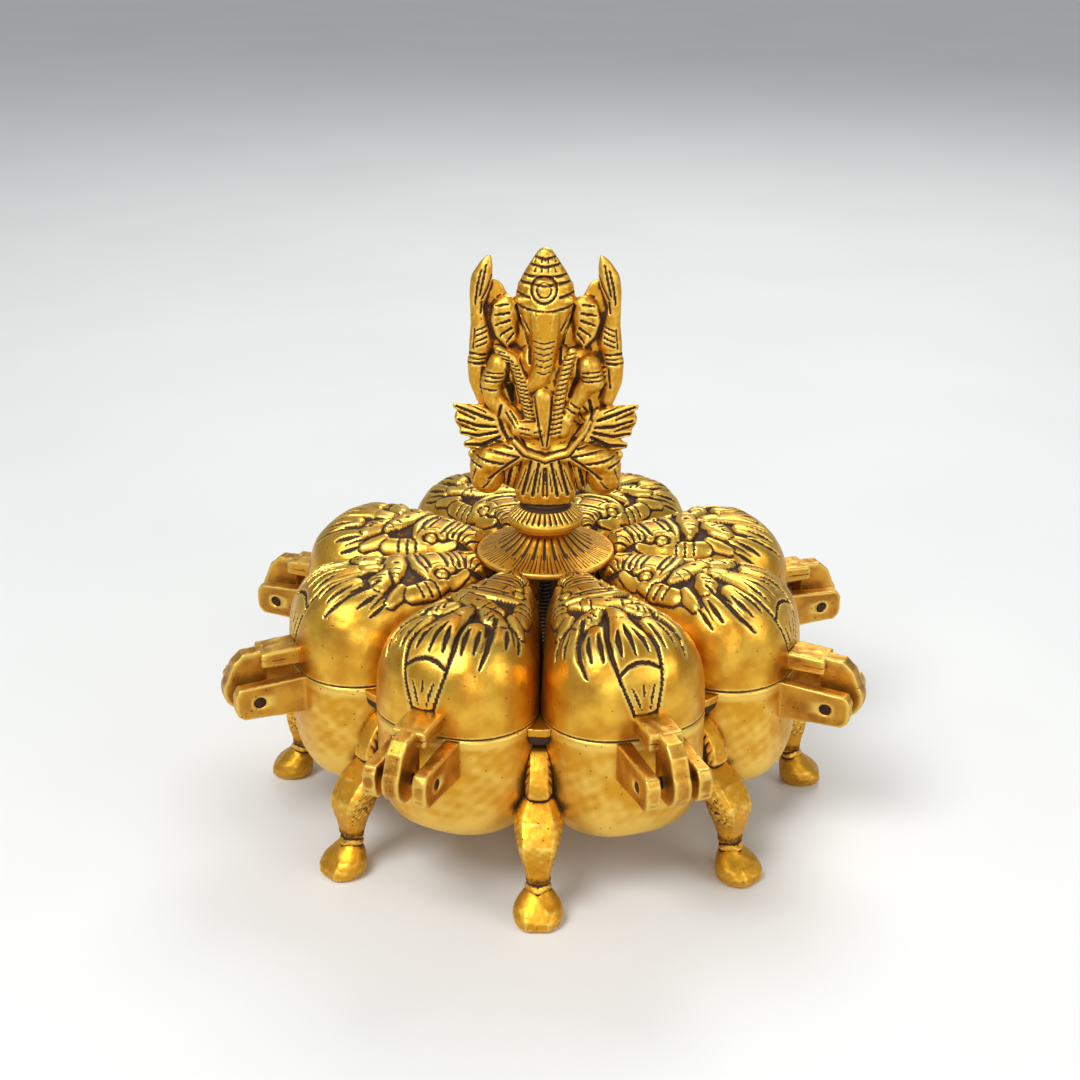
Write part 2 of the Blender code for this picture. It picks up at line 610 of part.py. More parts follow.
def build_figure():
    """The seated figure: rounded masses joined into one skin."""
    w, d, h = FIGURE_WIDTH / 2, FIGURE_DEPTH / 2, FIGURE_HEIGHT
    bm = bmesh.new()
    figure_sheet(bm)
    ball(bm, figure_point(0, -0.1, 0.261), (0.44 * w, d, 0.163 * h))
    ball(bm, figure_point(0, 0, 0.457), (0.56 * w, 0.85 * d, 0.141 * h))
    ball(bm, figure_point(0, -0.2, 0.686), (0.31 * w, 0.95 * d, 0.131 * h))
    for side in (-1, 1):
        shoulder, elbow = figure_point(side * 0.65, 0, 0.588), figure_point(side * 0.56, -0.4, 0.36)
        wrist = figure_point(side * 0.18, -0.9, 0.294)
        back_elbow, back_wrist = figure_point(side * 0.69, 0, 0.588), figure_point(side * 0.72, 0, 0.762)
        finger_tips = figure_point(side * 0.61, 0, 0.936)
        ball(bm, figure_point(side * 0.47, -0.25, 0.12), (0.34 * w, 0.95 * d, 0.109 * h))
        limb(bm, shoulder, elbow, 0.059 * h, 0.048 * h)
        limb(bm, elbow, wrist, 0.048 * h, 0.041 * h)
        limb(bm, back_elbow, back_wrist, 0.047 * h, 0.039 * h)
        limb(bm, back_wrist, finger_tips, 0.041 * h, 0.021 * h)
        ball(bm, figure_point(side * 0.43, 0, 0.707), (0.19 * w, 0.45 * d, 0.087 * h))
    brow, bend = figure_point(0, -0.8, 0.675), figure_point(-0.06, -1.0, 0.479)
    limb(bm, brow, bend, 0.048 * h, 0.035 * h)
    limb(bm, bend, figure_point(-0.15, -0.95, 0.446), 0.035 * h, 0.026 * h)
    crown_low, crown_high = FIGURE_Z + 0.773 * h, FIGURE_Z + h
    cone = bmesh.ops.create_cone(
        bm, cap_ends=True, segments=20, radius1=0.35 * w, radius2=0.05 * w, depth=crown_high - crown_low
    )
    squash = Matrix.Translation((0, 0, (crown_low + crown_high) / 2)) @ Matrix.Diagonal((1, 0.75, 1, 1))
    bmesh.ops.transform(bm, matrix=squash, verts=cone["verts"])
    figure = add_object("seated_figure", mesh_of("seated_figure", bm), PARTS, BRASS)
    skin = figure.modifiers.new("skin", "REMESH")
    skin.mode = "VOXEL"
    skin.voxel_size = 1.3 * MM
    thin = figure.modifiers.new("thin", "DECIMATE")
    thin.decimate_type = "COLLAPSE"
    thin.ratio = 0.12
    thin.use_collapse_triangulate = True


# ---- The box ------------------------------------------------------------------------------------
clear_scene()
PARTS = new_collection("brass_petal_spice_box")
CUTTERS = new_collection("cutters")
BRASS = finish_material("antiqued_cast_brass", (0.62, 0.36, 0.07), 0.32)
BRASS_LID = finish_material("polished_cast_brass", (0.72, 0.44, 0.09), 0.26)
STEEL = finish_material("dark_steel", (0.10, 0.09, 0.085), 0.45)

build_petals()
build_legs()
build_hub()
build_stud()
build_washer_and_nut()
build_disc()
build_pedestal()
build_figure()
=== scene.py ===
"""The looks of an eight-petal cast brass spice box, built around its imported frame.

Every size here is in millimetres until a mesh is finished, when it is scaled to metres in the frame's own axes.
A petal is drawn once in its own frame, +X outward from the centre and +Y sideways, and turned into its place.
"""

import logging
import math
from dataclasses import dataclass
from enum import Enum
from functools import partial

import bmesh
import bpy
import numpy as np
from mathutils import Matrix, Vector


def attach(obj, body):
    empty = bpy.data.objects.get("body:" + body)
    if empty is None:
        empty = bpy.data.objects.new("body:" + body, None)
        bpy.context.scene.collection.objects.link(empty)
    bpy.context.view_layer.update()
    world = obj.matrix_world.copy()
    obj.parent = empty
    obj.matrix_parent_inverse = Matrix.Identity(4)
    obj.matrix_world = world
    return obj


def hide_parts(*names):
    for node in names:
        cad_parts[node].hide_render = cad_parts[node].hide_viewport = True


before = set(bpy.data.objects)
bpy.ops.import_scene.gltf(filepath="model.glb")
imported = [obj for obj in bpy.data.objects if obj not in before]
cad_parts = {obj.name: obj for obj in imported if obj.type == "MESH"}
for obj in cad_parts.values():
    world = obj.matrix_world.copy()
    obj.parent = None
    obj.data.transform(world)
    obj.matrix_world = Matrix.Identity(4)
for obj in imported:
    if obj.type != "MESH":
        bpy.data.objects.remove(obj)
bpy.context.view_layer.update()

logging.basicConfig(level=logging.INFO, format="%(name)s: %(message)s")
LOG = logging.getLogger("spice_box")

MM = 0.001
PETALS = 8
HALF_SECTOR = math.pi / PETALS
INSIDE = -1.0  # the dark layer's mark for the insides of bowls and lids; that layer carries the patina and the painted shade
INSIDE_PATINA = 0.1  # how dark they are, being wiped clean in use


class Slot(Enum):
    """The record's material slots."""

    CAST = "antiqued_brass"
    LID = "polished_brass"
    STEEL = "dark_steel"


# ---- Colour and nodes ---------------------------------------------------------------------------
def linear(code: str) -> tuple[float, float, float, float]:
    """Turns an sRGB hex colour to linear.

    Args:
        code: The colour as "#RRGGBB".

    Returns:
        Linear red, green, blue and an alpha of 1.
    """
    parts = [int(code[i : i + 2], 16) / 255 for i in (1, 3, 5)]
    return (*[c / 12.92 if c <= 0.04045 else ((c + 0.055) / 1.055) ** 2.4 for c in parts], 1.0)


def add_node(
    tree: bpy.types.NodeTree, kind: str, inputs: dict | None = None, output: int | str = 0, **settings: str
) -> bpy.types.NodeSocket:
    """Adds a node with its settings and links.

    Args:
        tree: The material's node tree.
        kind: The node's type name, without its "ShaderNode".
        inputs: For each input's name or index, a value or the output socket to link.
        output: The name or index of the output that is wanted.
        settings: Properties of the node.

    Returns:
        The output socket.
    """
    node = tree.nodes.new("ShaderNode" + kind)
    for name, value in settings.items():
        setattr(node, name, value)
    for name, value in (inputs or {}).items():
        if isinstance(value, bpy.types.NodeSocket):
            tree.links.new(value, node.inputs[name])
        else:
            node.inputs[name].default_value = value
    return node.outputs[output]


@dataclass(frozen=True)
class AntiquedBrass:
    """Cast brass, dipped dark and buffed back: bright gold on the high places, brown-black in the hollows.

    Reads two vertex attributes: the dark layer, 1 where the dip stays in a hollow and where shade between neighbouring
    parts is painted in, and "worn", 1 on rubbed edges.
    """

    name: str
    bright: str = "#E8B542"
    deep: str = "#CC8F2C"
    worn: str = "#F4CE66"
    # the dip's brown-black, which also paints the shade between neighbouring parts
    patina_and_shade: str = "#38200D"
    stain: str = "#6A3A18"
    roughness: float = 0.40
    cloud: float = 9.0  # mm, the drift between brighter and deeper gold
    grain: float = 0.55  # mm, the casting sand's grain, drawn a little coarse so that it shows
    pore: float = 1.7  # mm, between pores
    pore_share: float = 0.16  # how many pores are open, 0 to 1
    bump: float = 0.10
    tarnish: float = 0.0  # how far the stain spreads over the whole piece, 0 to 1

    def material(self) -> bpy.types.Material:
        """Builds the finish's nodes.

        Returns:
            The material.
        """
        made = bpy.data.materials.new(self.name)
        made.use_nodes = True
        tree = made.node_tree
        add = partial(add_node, tree)
        shader = tree.nodes["Principled BSDF"]
        place = add("TexCoord", output="Object")
        patina_and_shade = add("Attribute", output="Fac", attribute_name="patina_and_shade")
        worn = add("Attribute", output="Fac", attribute_name="worn")
        cloud = add("TexNoise", {"Vector": place, "Scale": 1000 / self.cloud, "Detail": 3.0}, "Fac")
        sand = {"Vector": place, "Scale": 1000 / self.grain / 2, "Detail": 4.0, "Roughness": 0.65}
        grain = add("TexNoise", sand, "Fac")
        # a pore is a small dark dot at some of the cells' middles
        cell = add("TexVoronoi", {"Vector": place, "Scale": 1000 / self.pore}, "Distance")
        dot = add("MapRange", {"Value": cell, 1: 0.10, 2: 0.26, 3: 1.0, 4: 0.0}, interpolation_type="SMOOTHSTEP")
        draw = add("SeparateColor", {0: cell.node.outputs["Color"]})
        chosen = add("Math", {0: draw, 1: self.pore_share}, operation="LESS_THAN")
        pit = add("Math", {0: dot, 1: chosen}, operation="MULTIPLY")
        # the dip and the painted shade cling raggedly: their mask is shaken by the grain before it is sharpened
        swing = add("Math", {0: grain, 1: 0.5}, operation="SUBTRACT")
        shaken = add("Math", {0: swing, 1: 0.55, 2: patina_and_shade}, operation="MULTIPLY_ADD")
        edge = {"Value": shaken, 1: 0.30, 2: 0.68, 3: 0.0, 4: 1.0}
        dark = add("MapRange", edge, interpolation_type="SMOOTHSTEP")
        fringe = {"Value": shaken, 1: 0.06, 2: 0.50, 3: self.tarnish, 4: 1.0}
        halo = add("MapRange", fringe, interpolation_type="SMOOTHSTEP")
        drift = add("MapRange", {"Value": cloud, 1: 0.36, 2: 0.64})
        # from gold through rubbed, stained and dipped metal to the pores
        colour = linear(self.bright)
        for share, shade in ((drift, self.deep), (worn, self.worn), (halo, self.stain), (dark, self.patina_and_shade)):
            colour = add("Mix", {0: share, 6: colour, 7: linear(shade)}, 2, data_type="RGBA")
        pored = add("Math", {0: pit, 1: 0.7}, operation="MULTIPLY")
        colour = add("Mix", {0: pored, 6: colour, 7: linear(self.patina_and_shade)}, 2, data_type="RGBA")
        tree.links.new(colour, shader.inputs["Base Color"])
        # the dip is a matt sulphide, so it is rough and little of it is bare metal; the painted shade in the same mask
        # loses its metal too
        metal = add("Math", {0: dark, 1: -0.8, 2: 1.0}, operation="MULTIPLY_ADD")
        tree.links.new(metal, shader.inputs["Metallic"])
        rough = add("Math", {0: grain, 1: 0.16, 2: self.roughness - 0.08}, operation="MULTIPLY_ADD")
        matt = add("Math", {0: halo, 1: 0.30, 2: rough}, operation="MULTIPLY_ADD")
        tree.links.new(matt, shader.inputs["Roughness"])
        height = add("Math", {0: pit, 1: -1.4, 2: grain}, operation="MULTIPLY_ADD")
        bump = add("Bump", {"Strength": self.bump * 4, "Distance": 0.25 * MM, "Height": height})
        tree.links.new(bump, shader.inputs["Normal"])
        return made


@dataclass(frozen=True)
class BlackenedSteel:
    """Turned mild steel, oil-blackened: a dark satin with rusty brown patches and bare rubbed crests."""

    name: str
    dark: str = "#2B2622"
    rust: str = "#4A2C1C"
    bare: str = "#8C8478"
    roughness: float = 0.42
    patch: float = 4.0  # mm, the rust's patches

    def material(self) -> bpy.types.Material:
        """Builds the finish's nodes.

        Returns:
            The material.
        """
        made = bpy.data.materials.new(self.name)
        made.use_nodes = True
        tree = made.node_tree
        add = partial(add_node, tree)
        shader = tree.nodes["Principled BSDF"]
        place = add("TexCoord", output="Object")
        patch = add("TexNoise", {"Vector": place, "Scale": 1000 / self.patch, "Detail": 5.0}, "Fac")
        worn = add("Attribute", output="Fac", attribute_name="worn")
        spread = add("MapRange", {"Value": patch, 1: 0.45, 2: 0.62})
        rusty = add("Mix", {0: spread, 6: linear(self.dark), 7: linear(self.rust)}, 2, data_type="RGBA")
        rubbed = add("Mix", {0: worn, 6: rusty, 7: linear(self.bare)}, 2, data_type="RGBA")
        tree.links.new(rubbed, shader.inputs["Base Color"])
        shader.inputs["Metallic"].default_value = 0.85
        rough = add("Math", {0: patch, 1: 0.3, 2: self.roughness - 0.15}, operation="MULTIPLY_ADD")
        tree.links.new(rough, shader.inputs["Roughness"])
        bump = add("Bump", {"Strength": 0.2, "Distance": 0.1 * MM, "Height": patch})
        tree.links.new(bump, shader.inputs["Normal"])
        return made


# ---- Sculpting helpers --------------------------------------------------------------------------
def smooth_step(low: float, high: float, value: np.ndarray) -> np.ndarray:
    """Rises smoothly from 0 at low to 1 at high."""
    t = np.clip((value - low) / (high - low), 0, 1)
    return t * t * (3 - 2 * t)


def unevenness(points: np.ndarray, wavelength: float, seed: int) -> np.ndarray:
    """A hand-worked surface's gentle waves.

    Args:
        points: Places in mm, (..., 3).
        wavelength: The waves' length in mm.
        seed: What fixes the waves' directions.

    Returns:
        Heights of about -1 to 1 for the points.
    """
    random = np.random.default_rng(seed)
    total = np.zeros(points.shape[:-1])
    for _ in range(9):
        direction = random.normal(size=3)
        direction /= np.linalg.norm(direction)
        wave = wavelength * random.uniform(0.7, 1.4)
        total += np.sin(points @ direction * (2 * math.pi / wave) + random.uniform(0, 2 * math.pi))
    return total / 4.5


@dataclass(frozen=True)
class Stroke:
    """One chased line, leaf or boss of a relief, drawn on the surface's own (a, b) map.

    path holds (a, b, half width) in mm. A positive height stands up and a negative one is cut in.
    """

    path: tuple[tuple[float, float, float], ...]
    height: float
    flat: float = 0.0  # 0 is round across, 1 has a flat top with steep sides
    mirrored: bool = True

    def across(self, a: np.ndarray, b: np.ndarray) -> np.ndarray:
        """How far each point is from the path, in half widths."""
        nearest = np.full(a.shape, 9.0)
        pairs = list(zip(self.path, self.path[1:])) or [(self.path[0], self.path[0])]
        for side in (1, -1) if self.mirrored else (1,):
            for (a0, b0, w0), (a1, b1, w1) in pairs:
                da, db = a1 - a0, (b1 - b0) * side
                along = ((a - a0) * da + (b - b0 * side) * db) / max(da * da + db * db, 1e-9)
                along = np.clip(along, 0, 1)
                away = np.hypot(a - a0 - along * da, b - b0 * side - along * db)
                nearest = np.minimum(nearest, away / (w0 + along * (w1 - w0)))
        return nearest

    def profile(self, a: np.ndarray, b: np.ndarray) -> np.ndarray:
        """The stroke's share of its height at each point, 0 outside it and 1 at its middle."""
        q = self.across(a, b)
        rounded = np.sqrt(np.clip(1 - q * q, 0, 1))
        level = smooth_step(1.0, 0.72, q)
        return rounded * (1 - self.flat) + level * self.flat


def carve(
    base: np.ndarray, strokes: list[Stroke], a: np.ndarray, b: np.ndarray, floor: float | None = None
) -> np.ndarray:
    """Adds strokes to a surface's height.

    Args:
        base: The height before them, in mm.
        strokes: What is raised, each from the level below it, and then what is cut in.
        a: The map's first coordinate.
        b: The map's second coordinate.
        floor: The level that raised strokes stand on, if it isn't base.

    Returns:
        The new height in mm.
    """
    height = base.copy()
    for stroke in strokes:
        share = stroke.profile(a, b)
        if stroke.height > 0:
            foot = base if floor is None else floor
            height = np.where(share > 0, np.maximum(height, foot + stroke.height * share), height)
    for stroke in strokes:
        if stroke.height < 0:
            height = height + stroke.height * stroke.profile(a, b)
    return height


def surface_normals(points: np.ndarray, outward: np.ndarray) -> np.ndarray:
    """Normals of a wrapped grid of points.

    Args:
        points: (rows, columns, 3) places, the first and last columns being the same.
        outward: A point or points inside the shape, which the normals face away from.

    Returns:
        Unit normals, (rows, columns, 3).
    """
    wrapped = np.concatenate([points[:, -2:-1], points, points[:, 1:2]], axis=1)
    around = (wrapped[:, 2:] - wrapped[:, :-2])
    down = np.gradient(points, axis=0)
    normal = np.cross(around, down)
    length = np.linalg.norm(normal, axis=2, keepdims=True)
    normal = normal / np.maximum(length, 1e-12)
    facing = np.sign(np.sum(normal * (points - outward), axis=2, keepdims=True))
    return normal * np.where(facing == 0, 1, facing)


def skin_of(points: np.ndarray, patina_and_shade: np.ndarray | None = None) -> bmesh.types.BMesh:
    """A skin over a grid of points, its seam and its poles welded.

    Args:
        points: (rows, columns, 3) places in mm.
        patina_and_shade: How dark each point is, or None.

    Returns:
        A bmesh in mm with a "patina" layer.
    """
    rows, columns = points.shape[0] - 1, points.shape[1] - 1
    bm = bmesh.new()
    bmesh.ops.create_grid(bm, x_segments=columns, y_segments=rows, size=0.5)
    layer = bm.verts.layers.float.new("patina_and_shade")
    dark = np.zeros(points.shape[:2]) if patina_and_shade is None else patina_and_shade
    for vertex, place, value in zip(bm.verts, points.reshape(-1, 3), dark.reshape(-1)):
        vertex.co = place
        vertex[layer] = value
    bmesh.ops.remove_doubles(bm, verts=bm.verts, dist=1e-4)
    bmesh.ops.recalc_face_normals(bm, faces=bm.faces)
    return bm


def mesh_from(name: str, bm: bmesh.types.BMesh) -> bpy.types.Mesh:
    """Frees bm into a smooth mesh in metres.

    Args:
        name: The mesh's name.
        bm: The shape in mm.

    Returns:
        The mesh.
    """
    bmesh.ops.scale(bm, vec=(MM, MM, MM), verts=bm.verts)
    mesh = bpy.data.meshes.new(name)
    bm.to_mesh(mesh)
    bm.free()
    mesh.shade_smooth()
    return mesh


def float_layer(mesh: bpy.types.Mesh, name: str) -> np.ndarray:
    """A mesh's vertex attribute as an array of its own, zeros if it isn't there."""
    values = np.zeros(len(mesh.vertices), np.float32)
    found = mesh.attributes.get(name)
    if found is not None:
        found.data.foreach_get("value", values)
    return values


def write_layer(mesh: bpy.types.Mesh, name: str, values: np.ndarray) -> None:
    """Writes a mesh's vertex attribute, making it if it isn't there."""
    layer = mesh.attributes.get(name) or mesh.attributes.new(name, "FLOAT", "POINT")
    layer.data.foreach_set("value", np.ascontiguousarray(values, np.float32))


def hollows(mesh: bpy.types.Mesh, rounds: int) -> np.ndarray:
    """How far each vertex lies below a smoothed copy of its surface.

    Args:
        mesh: A mesh in metres.
        rounds: How many times the copy is smoothed.

    Returns:
        Depths in mm, below 0 on crests.
    """
    count = len(mesh.vertices)
    co = np.zeros(count * 3, np.float32)
    mesh.vertices.foreach_get("co", co)
    co = co.reshape(-1, 3).astype(float)
    normal = np.zeros(count * 3, np.float32)
    mesh.vertices.foreach_get("normal", normal)
    edges = np.zeros(len(mesh.edges) * 2, np.int32)
    mesh.edges.foreach_get("vertices", edges)
    one, two = edges.reshape(-1, 2).T
    degree = np.maximum(np.bincount(np.concatenate([one, two]), minlength=count), 1)
    soft = co.copy()
    for _ in range(rounds):
        soft = np.stack(
            [
                (np.bincount(one, soft[two, i], count) + np.bincount(two, soft[one, i], count)) / degree
                for i in range(3)
            ],
            axis=1,
        )
    return np.sum((soft - co) * normal.reshape(-1, 3), axis=1) / MM


def age(mesh: bpy.types.Mesh, fine: float = 0.05, broad: float = 0.30) -> None:
    """Writes where the dark dip stays, keeping the painted shade already in the layer, and where handling has rubbed
    the metal bright.

    Args:
        mesh: The finished mesh, its patina layer below 0 on the insides of bowls and lids.
        fine: The depth in mm of a small hollow that is fully dark.
        broad: The same for a wide one.
    """
    near, far = hollows(mesh, 4), hollows(mesh, 26)
    dark = np.maximum(smooth_step(0.25 * fine, fine, near), smooth_step(0.3 * broad, broad, far))
    own = float_layer(mesh, "patina_and_shade")
    inside = own < 0.5 * INSIDE
    write_layer(mesh, "patina_and_shade", np.where(inside, INSIDE_PATINA, np.maximum(dark, own)))
    write_layer(mesh, "worn", np.where(inside, 0.0, smooth_step(0.02, 0.12, -near) * 0.8))


def add_piece(
    name: str, mesh: bpy.types.Mesh, body: str, material: bpy.types.Material, nodes: tuple[str, ...] = ()
) -> bpy.types.Object:
    """Puts a finished mesh in the scene on its body.

    Args:
        name: The piece's name.
        mesh: Its mesh, in place and in metres.
        body: The CAD body that it rides on.
        material: Its finish.
        nodes: The CAD nodes that it stands for.

    Returns:
        The piece.
    """
    obj = bpy.data.objects.new(name, mesh)
    bpy.context.scene.collection.objects.link(obj)
    mesh.materials.clear()
    mesh.materials.append(material)
    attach(obj, body)
    if nodes:
        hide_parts(*nodes)
    LOG.info("%s: %d faces on %s", name, len(mesh.polygons), body)
    return obj


def turned_copy(mesh: bpy.types.Mesh, name: str, angle: float) -> bpy.types.Mesh:
    """A copy of a mesh turned about the box's axis by an angle in radians."""
    copy = mesh.copy()
    copy.name = name
    copy.transform(Matrix.Rotation(angle, 4, "Z"))
    return copy


def petal_angle(index: int) -> float:
    """The direction of petal index, 0 being the first one to the right of the front."""
    return (2 * index + 1) * HALF_SECTOR - math.pi / 2


def leg_angle(index: int) -> float:
    """The direction of leg index, 0 being at the front."""
    return 2 * index * HALF_SECTOR - math.pi / 2


def resampled(points: list[tuple[float, float]], count: int, closed: bool = True) -> np.ndarray:
    """Points spread evenly along a line.

    Args:
        points: The line's corners.
        count: How many points to make.
        closed: Whether the line returns to its start, which is then repeated at the end.

    Returns:
        (count + 1, 2) points if closed, or else (count, 2).
    """
    line = np.array(points + points[:1] if closed else points, float)
    along = np.concatenate([[0], np.cumsum(np.hypot(*np.diff(line, axis=0).T))])
    places = np.linspace(0, along[-1], count + 1 if closed else count)
    return np.stack([np.interp(places, along, line[:, 0]), np.interp(places, along, line[:, 1])], axis=1)


def arc(cx: float, cy: float, radius: float, start: float, end: float, count: int) -> list[tuple[float, float]]:
    """Points on an arc, the angles in degrees."""
    angles = [math.radians(start + (end - start) * i / (count - 1)) for i in range(count)]
    return [(cx + radius * math.cos(t), cy + radius * math.sin(t)) for t in angles]


# ---- Petals -------------------------------------------------------------------------------------
@dataclass(frozen=True)
class Petal:
    """A petal's plan and the sizes that its bowl and its lid share, in mm, as the frame has them."""

    seam_z: float = 64.6
    lobe_centre: float = 72.5
    lobe_radius: float = 22.0
    end_radius: float = 48.0
    spine_end: float = 70.0
    gap: float = 0.2
    inner_end: float = 18.2
    nose_radius: float = 5.2
    crest_start: float = 32.2
    fit_gap: float = 0.3
    hinge_offset: float = 14.798
    hinge_drop: float = 7.4
    disc_radius: float = 24.9
    disc_rise: float = 27.7
    swing_clearance: float = 0.6

    @property
    def corner_side(self) -> float:
        """How far the outer corners' middles lie beside the petal's axis."""
        return self.lobe_centre * math.tan(HALF_SECTOR) - (self.gap + self.lobe_radius) / math.cos(HALF_SECTOR)

    @property
    def end_centre(self) -> float:
        """The middle of the flatter curve between the outer corners."""
        return self.lobe_centre - math.sqrt((self.end_radius - self.lobe_radius) ** 2 - self.corner_side**2)

    @property
    def tip(self) -> float:
        """The petal's outermost reach."""
        return self.end_centre + self.end_radius

    @property
    def valley(self) -> float:
        """How far out two petals' corners touch, along the line between them."""
        return self.lobe_centre * math.cos(HALF_SECTOR) + self.corner_side * math.sin(HALF_SECTOR)

    def reach_at(self, side: float) -> float:
        """The petal's reach at a distance beside its axis."""
        return self.end_centre + math.sqrt(self.end_radius**2 - side**2)

    @property
    def hinge_x(self) -> float:
        """The pin's distance from the box's axis."""
        return self.tip + self.hinge_offset

    @property
    def hinge_z(self) -> float:
        """The pin's height."""
        return self.seam_z - self.hinge_drop

    @property
    def swing_radius(self) -> float:
        """How far from the pin a lid's tip may reach and still pass the disc."""
        rise = self.seam_z + self.disc_rise - self.hinge_z
        return math.hypot(self.hinge_x - self.disc_radius, rise) - self.swing_clearance

    def outline(self, inset: float, columns: int) -> np.ndarray:
        """The petal's outline, offset inward.

        Args:
            inset: The offset in mm.
            columns: How many points it has.

        Returns:
            (columns + 1, 2) points, the last one being the first.
        """
        slope = math.degrees(HALF_SECTOR)
        nose = max(self.nose_radius - inset, 1.2)
        side = (self.gap + inset) / math.cos(HALF_SECTOR)
        corner_x = self.inner_end + inset + nose
        corner_y = corner_x * math.tan(HALF_SECTOR) - side - nose / math.cos(HALF_SECTOR)
        if corner_y < 0:
            corner_x = (side + nose / math.cos(HALF_SECTOR)) / math.tan(HALF_SECTOR)
            corner_y = 0.0
        sweep = math.degrees(math.atan2(self.corner_side, self.lobe_centre - self.end_centre))
        half = [
            *arc(self.end_centre, 0, self.end_radius - inset, 0, sweep, 16)[:-1],
            *arc(self.lobe_centre, self.corner_side, self.lobe_radius - inset, sweep, 90 + slope, 50),
            *arc(corner_x, corner_y, nose, 90 + slope, 176, 14),
        ]
        whole = [*half, *[(x, -y) for x, y in half[:0:-1]]]
        return resampled(whole, columns)


PETAL = Petal()


def valley_gap(points: np.ndarray) -> np.ndarray:
    """How far each point of a petal lies from the plane halfway to its neighbour, in mm."""
    return (points[..., 0] * math.tan(HALF_SECTOR) - np.abs(points[..., 1])) * math.cos(HALF_SECTOR)


def section_angles(rows: int, fullness: float, width: float, height: float) -> np.ndarray:
    """Angles up a rounded section, spaced evenly along it, from its crown at 90 degrees to its edge at 0.

    Args:
        rows: How many angles to make.
        fullness: The section's exponent.
        width: Its half width.
        height: Its height.

    Returns:
        The angles in radians.
    """
    fine = np.radians(np.linspace(90, 0, 4000))
    x = np.cos(fine).clip(0) ** (2 / fullness) * width
    z = np.sin(fine) ** (2 / fullness) * height
    along = np.concatenate([[0], np.cumsum(np.hypot(np.diff(x), np.diff(z)))])
    return np.interp(np.linspace(0, along[-1], rows), along, fine)


